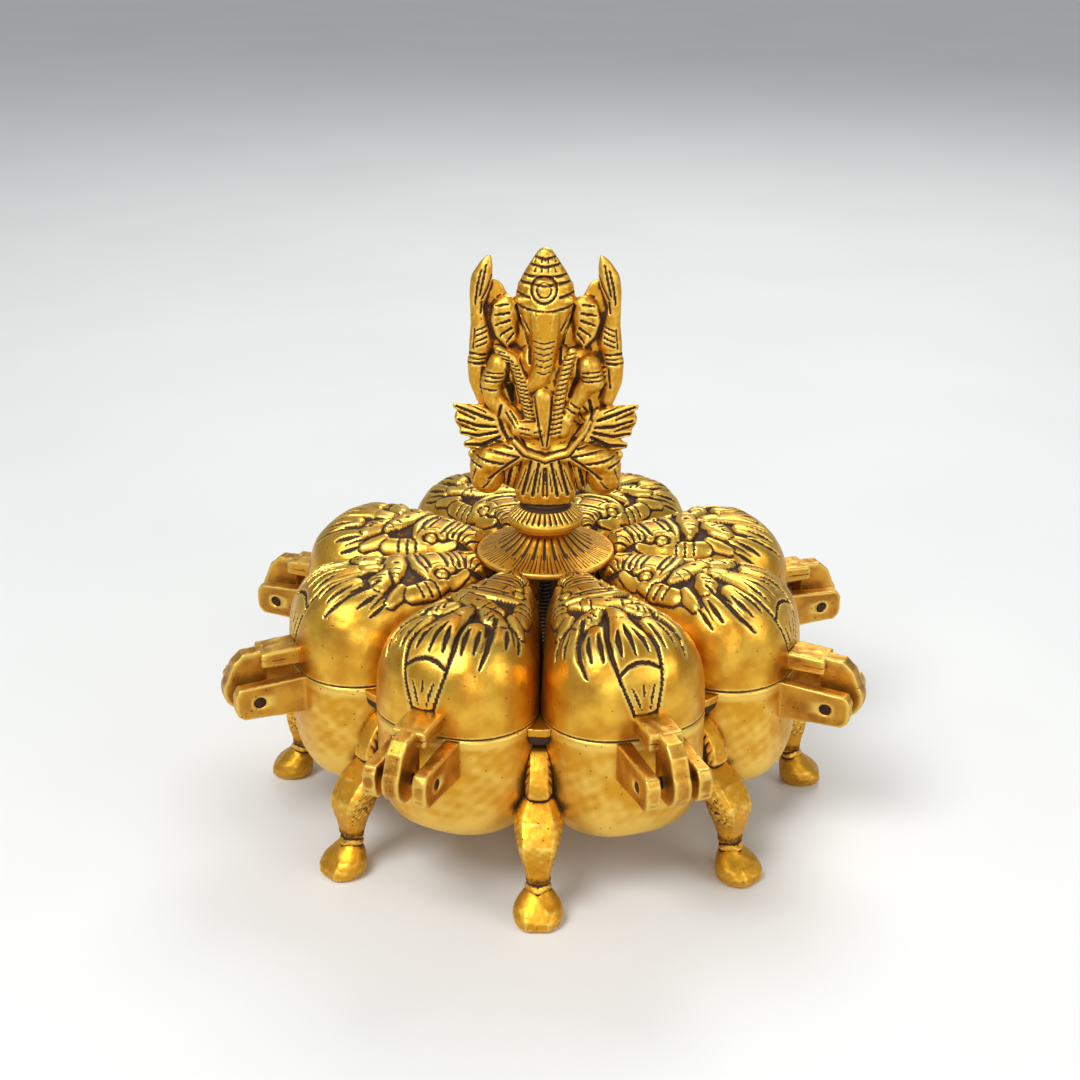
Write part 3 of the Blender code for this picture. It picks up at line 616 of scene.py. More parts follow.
@dataclass
class Lid:
    """A petal's lid: a polished dome with chased leaves, a strap and a tongue for the hinge."""

    height: float = 31.6
    wall: float = 2.8
    fullness: float = 2.9
    ground: float = -1.3
    boss_foot: float = -1.0
    deepest: float = 2.0
    columns: int = 400
    outer_rows: int = 112
    inner_rows: int = 14

    def dome(self, wall: float, rows: int) -> np.ndarray:
        """The dome's plain surface, offset inward by wall.

        Args:
            wall: The offset in mm.
            rows: How many rows from the crest to the rim.

        Returns:
            (rows, columns + 1, 3) points.
        """
        outline = PETAL.outline(wall, self.columns)
        base = PETAL.seam_z + PETAL.fit_gap
        angle = section_angles(rows, self.fullness, PETAL.lobe_radius, self.height)[:, None]
        scale = np.cos(angle).clip(0) ** (2 / self.fullness)
        scale[0] = 0.0
        z = base + np.sin(angle) ** (2 / self.fullness) * (self.height - wall)
        x, y = outline[None, :, 0], outline[None, :, 1]
        middle = np.clip(x, PETAL.crest_start, PETAL.spine_end)
        across = middle + scale * (x - middle)
        tip = outline[:, 0].min()
        swing = PETAL.swing_radius - wall
        limit = np.maximum(PETAL.hinge_x - np.sqrt(swing**2 - (z - PETAL.hinge_z) ** 2), tip)
        inner = limit + (x - tip) / (PETAL.crest_start - tip) * (PETAL.crest_start - limit)
        across = np.where(x < PETAL.crest_start, inner, across)
        return np.stack([across, scale * y + 0 * across, z + 0 * across], axis=2)

    def surface_map(self, points: np.ndarray) -> tuple[np.ndarray, np.ndarray]:
        """The dome unrolled from its crest, for drawing on.

        Args:
            points: The dome's points, the crest first.

        Returns:
            The distances along the petal and across it, in mm over the surface.
        """
        outline = PETAL.outline(0.0, self.columns)
        middle = np.clip(outline[:, 0], PETAL.crest_start, PETAL.spine_end)
        away = np.stack([outline[:, 0] - middle, outline[:, 1]], axis=1)
        away /= np.maximum(np.linalg.norm(away, axis=1, keepdims=True), 1e-9)
        steps = np.linalg.norm(np.diff(points, axis=0), axis=2)
        length = np.concatenate([np.zeros((1, points.shape[1])), np.cumsum(steps, axis=0)])
        return middle + away[:, 0] * length, away[:, 1] * length

    def leaves(self) -> list[Stroke]:
        """The leaf spray over the dome's outer shoulder, on a map centred on the spray."""
        main = ((63, 3.0, 0.8), (71, 4.8, 1.0), (79.5, 7.0, 1.0), (87, 8.5, 0.95), (96.5, 8.8, 0.5))
        side = ((66, 11.6, 0.7), (70.5, 13.8, 1.0), (76, 16.4, 1.05), (82, 18.6, 0.9), (89, 19.8, 0.4))
        return [
            # leaves and stem, standing on the sunk ground
            Stroke(((60, 0, 2.0), (66, 0, 3.2), (74, 0, 4.9), (82, 0, 7.8), (92, 0, 9.8)), 2.0, 0.45),
            Stroke(((74.0, 9.4, 3.6), (80, 11.6, 5.4), (92, 13.6, 7.6)), 1.95, 0.45),
            Stroke(((69, 16.4, 3.6), (76, 20.6, 6.0), (86, 25, 8.6)), 1.9, 0.45),
            # the dark furrows between them
            Stroke(main, -1.5),
            Stroke(side, -1.35),
            # the middle leaf's slits
            Stroke(((74.5, 0.2, 0.3), (80, 0.2, 1.1), (88.5, 0.0, 0.35)), -1.25, mirrored=False),
            Stroke(((77, 2.4, 0.3), (82.5, 4.1, 1.1), (88, 5.0, 0.35)), -1.25),
            # the side leaves' slits
            Stroke(((76, 8.9, 0.3), (81.5, 10.2, 1.0), (87.5, 11.6, 0.3)), -1.2),
            Stroke(((75.5, 12.2, 0.3), (80, 13.9, 0.9), (85.5, 15.4, 0.3)), -1.1),
            Stroke(((68.5, 17.6, 0.3), (72, 20.2, 1.0), (76.5, 22.8, 0.3)), -1.1),
            Stroke(((66.5, 21.6, 0.3), (70, 24.6, 0.75), (73, 26.6, 0.3)), -0.9),
            # the arch that ends the middle leaf, and the calyx under it
            Stroke(((91.2, 0, 0.75), (92.0, 4.2, 0.75), (93.8, 8.0, 0.6)), -1.1),
            Stroke(((95.5, 8.7, 0.6), (100, 8.2, 0.6), (105, 7.0, 0.7), (109.5, 5.8, 0.7)), -0.8),
            Stroke(((99, 5.0, 0.2), (103, 3.6, 0.55), (107, 2.4, 0.2)), -0.7),
            Stroke(((97.5, 0.4, 0.2), (101.5, 0.0, 0.45), (104, 0.0, 0.2)), -0.6, mirrored=False),
            Stroke(((109.6, 0.0, 0.9), (109.2, 3.4, 0.8), (108.4, 6.2, 0.7)), -0.9),
        ]

    def birds(self) -> list[Stroke]:
        """The crested knot between the neck and the leaf spray."""
        curl = tuple(
            (
                42.4 + 4.6 * math.cos(math.radians(t)), 9.6 + 4.4 * math.sin(math.radians(t)), 1.8
            ) for t in range(-150, 151, 25)
        )
        return [
            # the ribbed neck
            Stroke(((20, 0, 6.2), (30, 0, 7.6), (38, 0, 7.2), (45, 0, 6.6)), 1.6, 0.3),
            Stroke(curl, 1.9, 0.1),
            Stroke(((42.4, 9.6, 2.5),), 1.8, 0.0),
            Stroke(((47.8, -11, 1.3), (49.8, -4, 2.0), (50.0, 4, 2.0), (47.8, 11, 1.3)), 1.9, 0.1, False),
            # the eyed body across the crest
            Stroke(
                ((52.6, -11.0, 1.6), (54.6, -6.0, 3.8), (57, 0, 4.8), (58.8, 5.4, 3.9), (59.6, 10.4, 1.6)), 2.4,
                0.1, False
            ),
            # the wings beside the stem, and the smooth blocks at the shoulders
            Stroke(((62.2, 5.8, 2.6), (65.0, 9.8, 4.3), (66.8, 13.8, 3.0)), 2.3, 0.1),
            Stroke(((42.8, 14.0, 2.8), (48.5, 16.0, 4.6), (56.0, 17.6, 4.0)), 2.0, 0.2),
            Stroke(((58.8, 14.6, 2.0), (61.4, 18.2, 3.0), (64.8, 21.2, 2.2)), 1.9, 0.15),
            Stroke(((33.4, 9.8, 2.0), (37.0, 12.6, 2.6), (39.6, 14.4, 2.2)), 1.7, 0.1),
            Stroke(((64.8, 0, 3.6), (67.4, 0, 3.6)), 2.3, 0.0, False),
            # the neck's bands, the eye and the feathers
            *[Stroke(((a, 0, w), (a + 0.5, 6.6, w)), -d) for a, w, d in self.neck_bands()],
            Stroke(((56.6, 0.6, 0.95),), -1.2, 0.5, False),
            *[Stroke(((c, 13.2, 0.35), (c - 1.6, 18.6, 0.4)), -0.55) for c in (46.6, 50.0, 53.4)],
            *[Stroke(((63.0 + k, 8.2 + k, 0.3), (66.4 + k, 7.6 + k, 0.35)), -0.5) for k in (0.0, 1.8, 3.6)],
            *[
                Stroke(
                    ((53.6 + k * 0.7, -8.0 + 3.4 * k, 0.3), (58.0 + k * 0.7, -9.4 + 3.4 * k, 0.3)), -0.45,
                    mirrored=False
                ) for k in (0, 1, 4, 5)
            ],
        ]

    def neck_bands(self) -> tuple[tuple[float, float, float], ...]:
        """The rings cut round the neck: place, half width and depth."""
        return (
            (27.2, 0.45, 0.6), (29.6, 0.4, 0.5), (32.0, 0.7, 0.9), (34.4, 0.4, 0.5), (36.6, 0.4, 0.5),
            (39.0, 0.6, 0.8), (45.4, 0.5, 0.7)
        )

    def relief(self, a: np.ndarray, b: np.ndarray) -> np.ndarray:
        """The chasing's height over the plain dome.

        Args:
            a: Distances along the petal.
            b: Distances across it.

        Returns:
            Heights in mm, the sunk ground being self.ground.
        """
        sunk = Stroke(((18, 0, 10.0), (44, 0, 15.5), (56, 0, 19.5), (69, 0, 20.0)), self.ground, 1.0)
        base = self.ground * sunk.profile(a, b)
        spray = b + 2.4 * smooth_step(62, 82, a)
        leaves, birds = self.leaves(), self.birds()
        height = carve(base, [s for s in leaves if s.height > 0], a, spray, self.ground)
        # the leaves' tips run out into the smooth shell
        height = np.where(
            height > 0, height * smooth_step(91.0, 79.0, a) * smooth_step(27.0, 20.0, abs(spray)), height
        )
        height = np.maximum(height, carve(base, [s for s in birds if s.height > 0], a, b, self.boss_foot))
        level = np.zeros_like(a)
        cuts = carve(level, [s for s in leaves if s.height < 0], a, spray)
        cuts = np.minimum(cuts, carve(level, [s for s in birds if s.height < 0], a, b))
        return np.maximum(height + cuts, -self.deepest)

    def shell_mesh(self) -> bpy.types.Mesh:
        """The chased dome with its wall, as one closed skin in the petal's frame.

        Returns:
            The mesh in metres.
        """
        plain = self.dome(0.0, self.outer_rows)
        a, b = self.surface_map(plain)
        height = self.relief(a, b)
        fade = smooth_step(PETAL.seam_z + 1.0, PETAL.seam_z + 5.0, plain[..., 2])
        waves = 0.10 * unevenness(plain, 13.0, 3) + 0.035 * unevenness(plain, 4.0, 4)
        rough_ground = 0.10 * unevenness(plain, 1.7, 5) * smooth_step(-0.6, -1.3, height)
        normal = surface_normals(plain, np.array([60.0, 0.0, 70.0]))
        normal[0] = (0, 0, 1)
        # the whole relief sits a little low, so that its waves stay within the cast size
        rise = (height - 0.12 + waves + rough_ground) * fade
        # bosses may stand proud of the shell, but not where the lid's tip swings past the disc
        rise = np.minimum(rise, 0.25 + 1.15 * smooth_step(38.0, 46.0, plain[..., 0]))
        outer = plain + normal * rise[..., None]
        # the lid's tip keeps inside the arc that passes the disc
        reach = np.hypot(outer[..., 0] - PETAL.hinge_x, outer[..., 2] - PETAL.hinge_z)
        pull = np.minimum(1.0, PETAL.swing_radius / np.maximum(reach, 1e-9))
        near = (outer[..., 0] < 45.0)[..., None]
        pin = np.array([PETAL.hinge_x, 0.0, PETAL.hinge_z])
        scaled = np.stack(
            [
                pin[0] + (outer[..., 0] - pin[0]) * pull, outer[..., 1], pin[2] + (outer[..., 2] - pin[2]) * pull
            ], axis=2
        )
        outer = np.where(near, scaled, outer)
        inner = self.dome(self.wall, self.inner_rows)[::-1]
        points = np.concatenate([outer, inner])
        dark = np.concatenate([0.42 * smooth_step(-0.55, -1.2, height), np.full(inner.shape[:2], INSIDE)])
        seam = smooth_step(PETAL.seam_z + 1.3, PETAL.seam_z + 0.4, plain[..., 2]) * 0.55
        dark[: self.outer_rows] = np.maximum(dark[: self.outer_rows], seam)
        # painted shade: the petals' facing sides are painted somewhat darker where the lids face each other
        side = smooth_step(3.5, 0.8, valley_gap(plain)) * smooth_step(60, 40, plain[..., 0])
        dark[: self.outer_rows] = np.maximum(dark[: self.outer_rows], 0.3 * side)
        return mesh_from("lid_shell", skin_of(points, dark))


@dataclass
class Plate:
    """A cast plate with rounded edges and a pin's hole through it, standing in the (x, z) plane."""

    outline: list[tuple[float, float]]
    low: float
    high: float
    hole: float = 2.1
    bevel: float = 0.8
    columns: int = 120
    unevenness: float = 0.10
    seed: int = 11

    def skin(self) -> bmesh.types.BMesh:
        """The plate as one closed skin, its outline given around the pin.

        Returns:
            The bmesh in mm.
        """
        edge = resampled(self.outline, self.columns)
        pin = np.array([PETAL.hinge_x, PETAL.hinge_z])
        ray = edge - pin
        reach = np.linalg.norm(ray, axis=1, keepdims=True)
        ray = ray / reach
        rows = []

        def ring(distance: np.ndarray, y: float) -> None:
            """Adds a ring of points at a distance from the pin's axis."""
            flat = pin + ray * distance
            rows.append(np.stack([flat[:, 0], np.full(len(flat), y), flat[:, 1]], axis=1))

        face = np.linspace(0.0, 1.0, 9)
        bevels = np.radians(np.linspace(0, 90, 5))
        for t in face:
            ring(self.hole + (reach - self.bevel - self.hole) * t, self.low)
        for t in bevels[1:]:
            ring(reach - self.bevel + self.bevel * math.sin(t), self.low + self.bevel * (1 - math.cos(t)))
        for t in np.linspace(0, 1, 6)[1:-1]:
            ring(reach, self.low + self.bevel + (self.high - self.low - 2 * self.bevel) * t)
        for t in bevels[::-1][:-1]:
            ring(reach - self.bevel + self.bevel * math.sin(t), self.high - self.bevel * (1 - math.cos(t)))
        for t in face[::-1]:
            ring(self.hole + (reach - self.bevel - self.hole) * t, self.high)
        for t in np.linspace(1, 0, 5)[1:]:
            ring(np.full_like(reach, self.hole), self.low + (self.high - self.low) * t)
        points = np.stack(rows)
        # files and hammers leave the outline ragged, but never beyond the cast size
        bumpy = np.clip(unevenness(points, 3.4, self.seed), -1, 1) - 1
        away = points - np.array([pin[0], 0, pin[1]])
        away[..., 1] = 0
        span = np.linalg.norm(away, axis=2, keepdims=True)
        outer = smooth_step(self.hole + 1.5, self.hole + 4.5, span)
        points = points + away / np.maximum(span, 1e-9) * (bumpy * self.unevenness)[..., None] * outer
        points[-1] = points[0]
        return skin_of(points)


@dataclass
class Hinge:
    """The hinge's cast parts: two ears on the bowl, a strap and tongue on the lid, and the pin."""

    ear_slot: float = 12.8
    ear_thickness: float = 5.0
    ear_reach: float = 8.6
    ear_below: float = 6.0
    ear_above: float = 7.4
    tongue_width: float = 6.0
    tongue_reach: float = 11.0
    tongue_nose: float = 7.8
    tongue_top: float = 16.4
    strap_step: float = 2.4
    strap_lift: float = 2.6
    pin_radius: float = 1.8

    @property
    def outside(self) -> float:
        """The ears' outer faces, from the hinge's middle."""
        return self.ear_slot / 2 + self.ear_thickness

    def ears_mesh(self) -> bpy.types.Mesh:
        """Both ears, each a clipped plate, in the petal's frame."""
        wall = PETAL.reach_at(self.outside) - 1.4
        reach = PETAL.hinge_x + self.ear_reach
        top, low = PETAL.hinge_z + self.ear_above, PETAL.hinge_z - self.ear_below
        clip = 2.6
        outline = [
            (reach, PETAL.hinge_z - 2.0),
            (reach, top - 1.6 - clip),
            (reach - 0.6 * clip, top - 1.6),
            (wall, top - 0.1),
            (wall, low - 0.4),
            (reach - clip, low),
            (reach - 0.5, low + 0.7 * clip),
        ]
        bm = bmesh.new()
        for side in (-1, 1):
            low_y, high_y = sorted((side * self.ear_slot / 2, side * self.outside))
            part = Plate(outline, low_y, high_y, seed=12 + side).skin()
            spare = bpy.data.meshes.new("ear")
            part.to_mesh(spare)
            part.free()
            bm.from_mesh(spare)
            bpy.data.meshes.remove(spare)
        return mesh_from("ears", bm)

    def tongue_mesh(self) -> bpy.types.Mesh:
        """The lid's tongue, which wraps down over the pin, in the petal's frame."""
        low = PETAL.hinge_z - self.ear_below - 0.2
        nose = arc(
            PETAL.hinge_x + self.tongue_reach - self.tongue_nose, low + self.tongue_nose, self.tongue_nose, 35, -90, 24
        )
        inner = PETAL.hinge_x - self.strap_step - 2.6
        high = PETAL.hinge_z + self.tongue_top
        outline = [
            *nose,
            (PETAL.hinge_x - 3.0, low + 0.4),
            (inner + 0.6, low + 3.0),
            (inner, high - 1.1),
            (inner + 0.6, high - 0.9),
            (PETAL.hinge_x + 3.5, high - 1.4),
            (PETAL.hinge_x + 0.64 * self.tongue_reach, high - 4.6),
        ]
        half = self.tongue_width / 2
        return mesh_from("tongue", Plate(outline, -half, half, bevel=0.7, columns=150, seed=14).skin())

    def strap_mesh(self) -> bpy.types.Mesh:
        """The lid's strap, a wide block from the dome out to the tongue, in the petal's frame."""
        half = self.ear_slot / 2 - PETAL.fit_gap
        start = PETAL.reach_at(self.ear_slot / 2) - 1.4
        end = PETAL.hinge_x - self.strap_step
        low, high = PETAL.seam_z + self.strap_lift, PETAL.hinge_z + self.tongue_top
        bm = bmesh.new()
        bmesh.ops.create_cube(bm, size=1.0)
        bmesh.ops.scale(bm, vec=(end - start, 2 * half, high - low), verts=bm.verts)
        bmesh.ops.translate(bm, vec=((start + end) / 2, 0, (low + high) / 2), verts=bm.verts)
        bmesh.ops.bevel(bm, geom=bm.edges[:], offset=0.8, segments=3, profile=0.5, affect="EDGES", material=-1)
        bmesh.ops.subdivide_edges(
            bm, edges=[e for e in bm.edges if e.calc_length() > 3.0], cuts=9, use_grid_fill=True
        )
        places = np.array([v.co for v in bm.verts])
        lumps = np.clip(unevenness(places, 4.2, 17), -1, 1)
        for vertex, lump in zip(bm.verts, lumps):
            slope = 0.9 * (vertex.co.x - start) / (end - start) * (vertex.co.z > (low + high) / 2)
            vertex.co.z -= slope + (0.14 * (1 + lump) if vertex.co.z > (low + high) / 2 else 0.0)
            vertex.co.y *= 1 - 0.012 * (1 + lump)
        bmesh.ops.recalc_face_normals(bm, faces=bm.faces)
        return mesh_from("strap", bm)

    def pin_mesh(self) -> bpy.types.Mesh:
        """The steel pin with its ends peened over, in the petal's frame."""
        length = self.outside + 0.05
        bm = bmesh.new()
        bmesh.ops.create_cone(
            bm, cap_ends=True, segments=40, radius1=self.pin_radius, radius2=self.pin_radius, depth=2 * length
        )
        rims = [e for e in bm.edges if abs(e.verts[0].co.z - e.verts[1].co.z) < 1e-4]
        bmesh.ops.bevel(bm, geom=rims, offset=0.45, segments=3, profile=0.5, affect="EDGES", material=-1)
        turn = Matrix.Translation((PETAL.hinge_x, 0, PETAL.hinge_z)) @ Matrix.Rotation(math.radians(90), 4, "X")
        bmesh.ops.transform(bm, matrix=turn, verts=bm.verts)
        mesh = mesh_from("pin", bm)
        mesh.set_sharp_from_angle(angle=math.radians(40))
        return mesh


@dataclass
class Bowl:
    """A petal's bowl: a smooth rounded pot that hangs from the rims."""

    depth: float = 41.6
    wall: float = 3.0
    fullness: float = 5.0
    columns: int = 200
    outer_rows: int = 44
    inner_rows: int = 24

    def pot(self, wall: float, rows: int) -> np.ndarray:
        """The bowl's plain surface, offset inward by wall, the rim last."""
        outline = PETAL.outline(wall, self.columns)
        angle = section_angles(rows, self.fullness, PETAL.lobe_radius, self.depth)[:, None]
        scale = np.cos(angle).clip(0) ** (2 / self.fullness)
        scale[0] = 0.0
        z = PETAL.seam_z - np.sin(angle) ** (2 / self.fullness) * (self.depth - wall)
        x, y = outline[None, :, 0], outline[None, :, 1]
        middle = np.clip(x, PETAL.crest_start, PETAL.spine_end)
        across = middle + scale * (x - middle)
        return np.stack([across, scale * y + 0 * across, z + 0 * across], axis=2)

    def shell_mesh(self) -> bpy.types.Mesh:
        """The bowl with its wall and rounded rim, as one closed skin in the petal's frame.

        Returns:
            The mesh in metres.
        """
        plain = self.pot(0.0, self.outer_rows)
        normal = surface_normals(plain, np.array([60.0, 0.0, 50.0]))
        normal[0] = (0, 0, -1)
        fade = smooth_step(PETAL.seam_z - 0.5, PETAL.seam_z - 4.0, plain[..., 2])
        waves = 0.11 * (unevenness(plain, 12.0, 6) - 1) + 0.03 * unevenness(plain, 4.0, 7)
        # a filed bevel under the rim leaves the thin light line along the seam
        lip = -0.35 * smooth_step(PETAL.seam_z - 0.9, PETAL.seam_z, plain[..., 2])
        outer = plain + normal * (waves * fade + lip)[..., None]
        inner = self.pot(self.wall, self.inner_rows)[::-1]
        points = np.concatenate([outer, inner])
        dark = np.full(points.shape[:2], INSIDE)
        # painted shade: the valleys between the pots, where the legs grow, are painted dark below the rims
        deep = smooth_step(3.4, 0.6, valley_gap(plain)) * smooth_step(
            PETAL.seam_z - 2.5, PETAL.seam_z - 5.5, plain[..., 2]
        )
        dark[: self.outer_rows] = deep
        return mesh_from("bowl_shell", skin_of(points, dark))


# ---- Legs ---------------------------------------------------------------------------------------
@dataclass
class Leg:
    """An animal's leg with a broad paw, whose ridged thigh climbs the valley between two bowls."""

    tall: float = 64.3
    root_gap: float = 1.0  # between the leg's root and where the two bowls touch
    columns: int = 112
    rows: int = 190

    def stations(self) -> np.ndarray:
        """The leg's silhouette from the sole up.

        Returns:
            Rows of height, inner reach, outer reach and half width, in mm.
        """
        return np.array(
            [
                (0.00, 90.4, 104.2, 6.6),
                (1.2, 89.6, 105.4, 7.9),
                (3.6, 89.3, 105.2, 8.6),
                (6.0, 89.2, 103.2, 8.2),
                (8.6, 89.2, 99.8, 6.4),
                (10.4, 89.3, 98.0, 4.9),
                (11.2, 89.0, 98.2, 4.85),
                (12.2, 89.0, 97.1, 4.4),
                (16.0, 88.2, 97.2, 4.4),
                (20.0, 86.6, 98.0, 5.0),
                (24.0, 85.0, 98.8, 6.4),
                (28.0, 83.8, 98.8, 7.3),
                (31.0, 77.0, 96.6, 8.2),
                (34.0, 74.0, 93.8, 8.6),
                (36.4, 70.5, 91.0, 7.9),
                (38.4, 67.8, 88.6, 6.6),
                (39.6, 67.0, 87.2, 5.6),
                (40.6, 66.4, 88.6, 4.9),
                (43.0, 65.6, 88.6, 5.1),
                (46.0, 65.0, 87.9, 5.0),
                (50.0, 64.8, 85.3, 4.6),
                (53.4, 64.8, 82.2, 4.2),
                (55.0, 64.75, 80.0, 3.9),
                (55.8, 64.75, 77.0, 3.9),
                (56.8, 64.75, 79.0, 5.0),
                (58.6, 64.75, 81.4, 5.9),
                (60.8, 64.75, 82.0, 6.3),
                (62.0, 64.75, 82.1, 6.4),
                (64.3, 64.75, 82.4, 6.45),
            ]
        )

    def skin(self) -> tuple[np.ndarray, np.ndarray]:
        """The leg's surface before it is cut back from the bowls.

        Returns:
            The points in mm and how dark each is.
        """
        table = self.stations()
        # rows stand closer where the leg is worked in more detail
        levels = [0, 5.5, 11.8, 22, 34.5, 41, 52, 57.5, self.tall]
        z = np.interp(np.linspace(0, 1, self.rows), np.linspace(0, 1, len(levels)), levels)
        inner, outer, half = (np.interp(z, table[:, 0], table[:, i]) for i in (1, 2, 3))
        root = PETAL.valley + self.root_gap
        inner = np.where(z > 30, np.maximum(inner, root), inner)

        def eased(line: np.ndarray) -> np.ndarray:
            """Takes the corners off a silhouette."""
            soft = line.copy()
            for _ in range(4):
                soft[1:-1] = (soft[:-2] + 2 * soft[1:-1] + soft[2:]) / 4
            return soft

        inner, outer, half = eased(inner)[:, None], eased(outer)[:, None], eased(half)[:, None]
        height = z[:, None]
        turn = np.linspace(0, 2 * math.pi, self.columns + 1)[None, :]
        c, s = np.cos(turn), np.sin(turn)
        # squarer where the shin and the ridge have a flat front, rounder at the paw
        square = 1.0 - 0.30 * smooth_step(11, 24, height) + 0.05 * smooth_step(40, 44, height)
        x = (inner + outer) / 2 + (outer - inner) / 2 * np.sign(c) * np.abs(c) ** square
        y = half * np.sign(s) * np.abs(s) ** (square * (1 - 0.12 * smooth_step(8, 3, height)))
        # the shin's and the paw's flat front facet, about 4 mm wide
        facet = outer - 0.9 * smooth_step(10, 14, height) - 0.7 * smooth_step(9, 6, height)
        x = np.where((c > 0) & (height < 57), np.minimum(x, facet + 0.16 * (x - facet)), x)
        points = np.stack([x + 0 * turn, y + 0 * turn, height + 0 * turn], axis=2)
        dark = np.zeros(points.shape[:2])
        relief = self.relief(points, c)
        away = np.stack([c + 0 * height, s + 0 * height, 0 * c + 0 * height], axis=2)
        fade = smooth_step(0.0, 1.5, height) * smooth_step(self.tall, self.tall - 1.0, height)
        lumps = 0.12 * unevenness(points, 5.0, 21) + 0.05 * unevenness(points, 1.9, 22)
        points = points + away * ((relief + lumps - 0.12) * fade)[..., None]
        dark = np.maximum(dark, smooth_step(-0.3, -0.9, relief))
        # painted shade: a dark band all round the leg from about 55 to 61 mm, over the pocket and the web under the
        # bowls' rims
        dark = np.maximum(dark, smooth_step(54.8, 56.2, height) * smooth_step(61.8, 60.8, height) + 0 * c)
        # painted shade: the thigh's back and sides, where they lie between two bowls, are painted dark from 33 mm up
        # to the web
        dark = np.maximum(
            dark, 0.8 * smooth_step(33, 38, height) * smooth_step(0.75, 0.25, c) * smooth_step(58.4, 56.4, height)
        )
        dark = np.maximum(dark, 0.35 * smooth_step(12.6, 14, height) * smooth_step(17.5, 15, height) + 0 * c)
        return points, dark

    def relief(self, points: np.ndarray, facing: np.ndarray) -> np.ndarray:
        """Bands, notches and the engraved sides.

        Args:
            points: The leg's points in mm.
            facing: 1 at the front of the leg, -1 at its back.

        Returns:
            Heights in mm.
        """
        x, y, z = points[..., 0], np.abs(points[..., 1]), points[..., 2]
        turn = np.degrees(np.arccos(np.clip(facing, -1, 1))) + 0 * z
        height = np.zeros_like(z)
        # ankle rings and the notch under the ridge
        for level, width, depth in ((10.6, 0.6, 0.5), (12.9, 0.5, 0.4), (39.7, 0.8, 0.7)):
            height -= depth * np.exp(-(((z - level - 0.6 * np.sin(turn / 30)) / width) ** 2))
        # toes: three short clefts at the front of the paw
        for centre in (0.0, 3.4):
            cleft = Stroke(
                ((0.0, centre, 0.4), (2.0, centre * 0.95, 0.35), (3.2, centre * 0.9, 0.12)), -0.5, mirrored=False
            )
            height -= 0.12 * cleft.profile(z, y) * (facing > 0.3)
        # the sides of the thigh: rows of small scales, each a ring cut round a boss
        side = smooth_step(0.75, 0.5, np.abs(facing)) * smooth_step(20, 22, z) * smooth_step(38.4, 37.2, z)
        pitch = 2.6
        row = np.round(z / (0.87 * pitch))
        across = x + (row % 2) * pitch / 2
        near = np.hypot(across - np.round(across / pitch) * pitch, z - row * 0.87 * pitch)
        height -= 0.26 * side * np.exp(-(((near - 1.05) / 0.3) ** 2))
        # flowing lines on the ridge's cheeks
        cheek = smooth_step(0.9, 0.6, facing) * smooth_step(40.5, 41.5, z) * smooth_step(54, 52.5, z)
        height -= 0.35 * cheek * (0.5 + 0.5 * np.cos(2 * math.pi * (x - 0.45 * z) / 2.4)) ** 3
        return height

    def cut_back(self, points: np.ndarray) -> np.ndarray:
        """Presses the leg's sides in to the bowls on both sides of its valley.

        Args:
            points: The leg's points in mm.

        Returns:
            The points, none inside a bowl.
        """
        bowl = Bowl()
        drop = np.clip((PETAL.seam_z - points[..., 2]) / (bowl.depth + PETAL.fit_gap), 0, 1)
        share = (1 - drop**bowl.fullness) ** (1 / bowl.fullness)
        radius = (PETAL.lobe_radius + PETAL.fit_gap * 0.5) * share
        along = PETAL.spine_end + share * (PETAL.lobe_centre - PETAL.spine_end)
        side = share * PETAL.corner_side
        centre_x = along * math.cos(HALF_SECTOR) + side * math.sin(HALF_SECTOR)
        centre_y = along * math.sin(HALF_SECTOR) - side * math.cos(HALF_SECTOR)
        beside = np.sqrt(np.clip(radius**2 - (points[..., 0] - centre_x) ** 2, 0, None))
        limit = np.where(beside > 0, centre_y - beside, 99.0)
        limit = np.where(points[..., 0] < centre_x, np.minimum(limit, np.maximum(centre_y - radius, 0.12)), limit)
        limit = np.maximum(limit, 0.12)
        held = points.copy()
        held[..., 1] = np.sign(points[..., 1]) * np.minimum(np.abs(points[..., 1]), limit)
        return held

    def mesh(self) -> bpy.types.Mesh:
        """The leg as one closed skin, pointing along +X.

        Returns:
            The mesh in metres.
        """
        points, dark = self.skin()
        points = self.cut_back(points)

        def cap(ring: np.ndarray) -> np.ndarray:
            """Rows that close an end over its middle line."""
            middle = ring.copy()
            middle[:, 1] = 0
            centre = np.array([ring[:, 0].mean(), 0, ring[0, 2]])
            middle[:, 0] = centre[0] + (middle[:, 0] - centre[0]) * 0.6
            return np.stack([middle * (1 - t) + ring * t for t in (0.0, 0.3, 0.6, 0.85)])

        low, high = cap(points[0]), cap(points[-1])[::-1]
        skin = np.concatenate([low, points, high])
        shade = np.concatenate([np.zeros(low.shape[:2]), dark, np.zeros(high.shape[:2])])
        return mesh_from("leg", skin_of(skin, shade))


# ---- Centre -------------------------------------------------------------------------------------
def lathe(profile: list[tuple[float, float]], columns: int, step: float) -> np.ndarray:
    """A turned surface as a grid of points.

    Args:
        profile: (r, z) corners in mm, from one end or back to the start.
        columns: Points round it.
        step: The spacing of the rows in mm.

    Returns:
        (rows, columns + 1, 3) points.
    """
    line = np.array(profile, float)
    length = float(np.sum(np.hypot(*np.diff(line, axis=0).T)))
    fine = resampled(profile, max(int(length / step), 8), closed=False)
    turn = np.linspace(0, 2 * math.pi, columns + 1)[None, :]
    r, z = fine[:, 0][:, None], fine[:, 1][:, None]
    return np.stack([r * np.cos(turn), r * np.sin(turn), z + 0 * turn], axis=2)


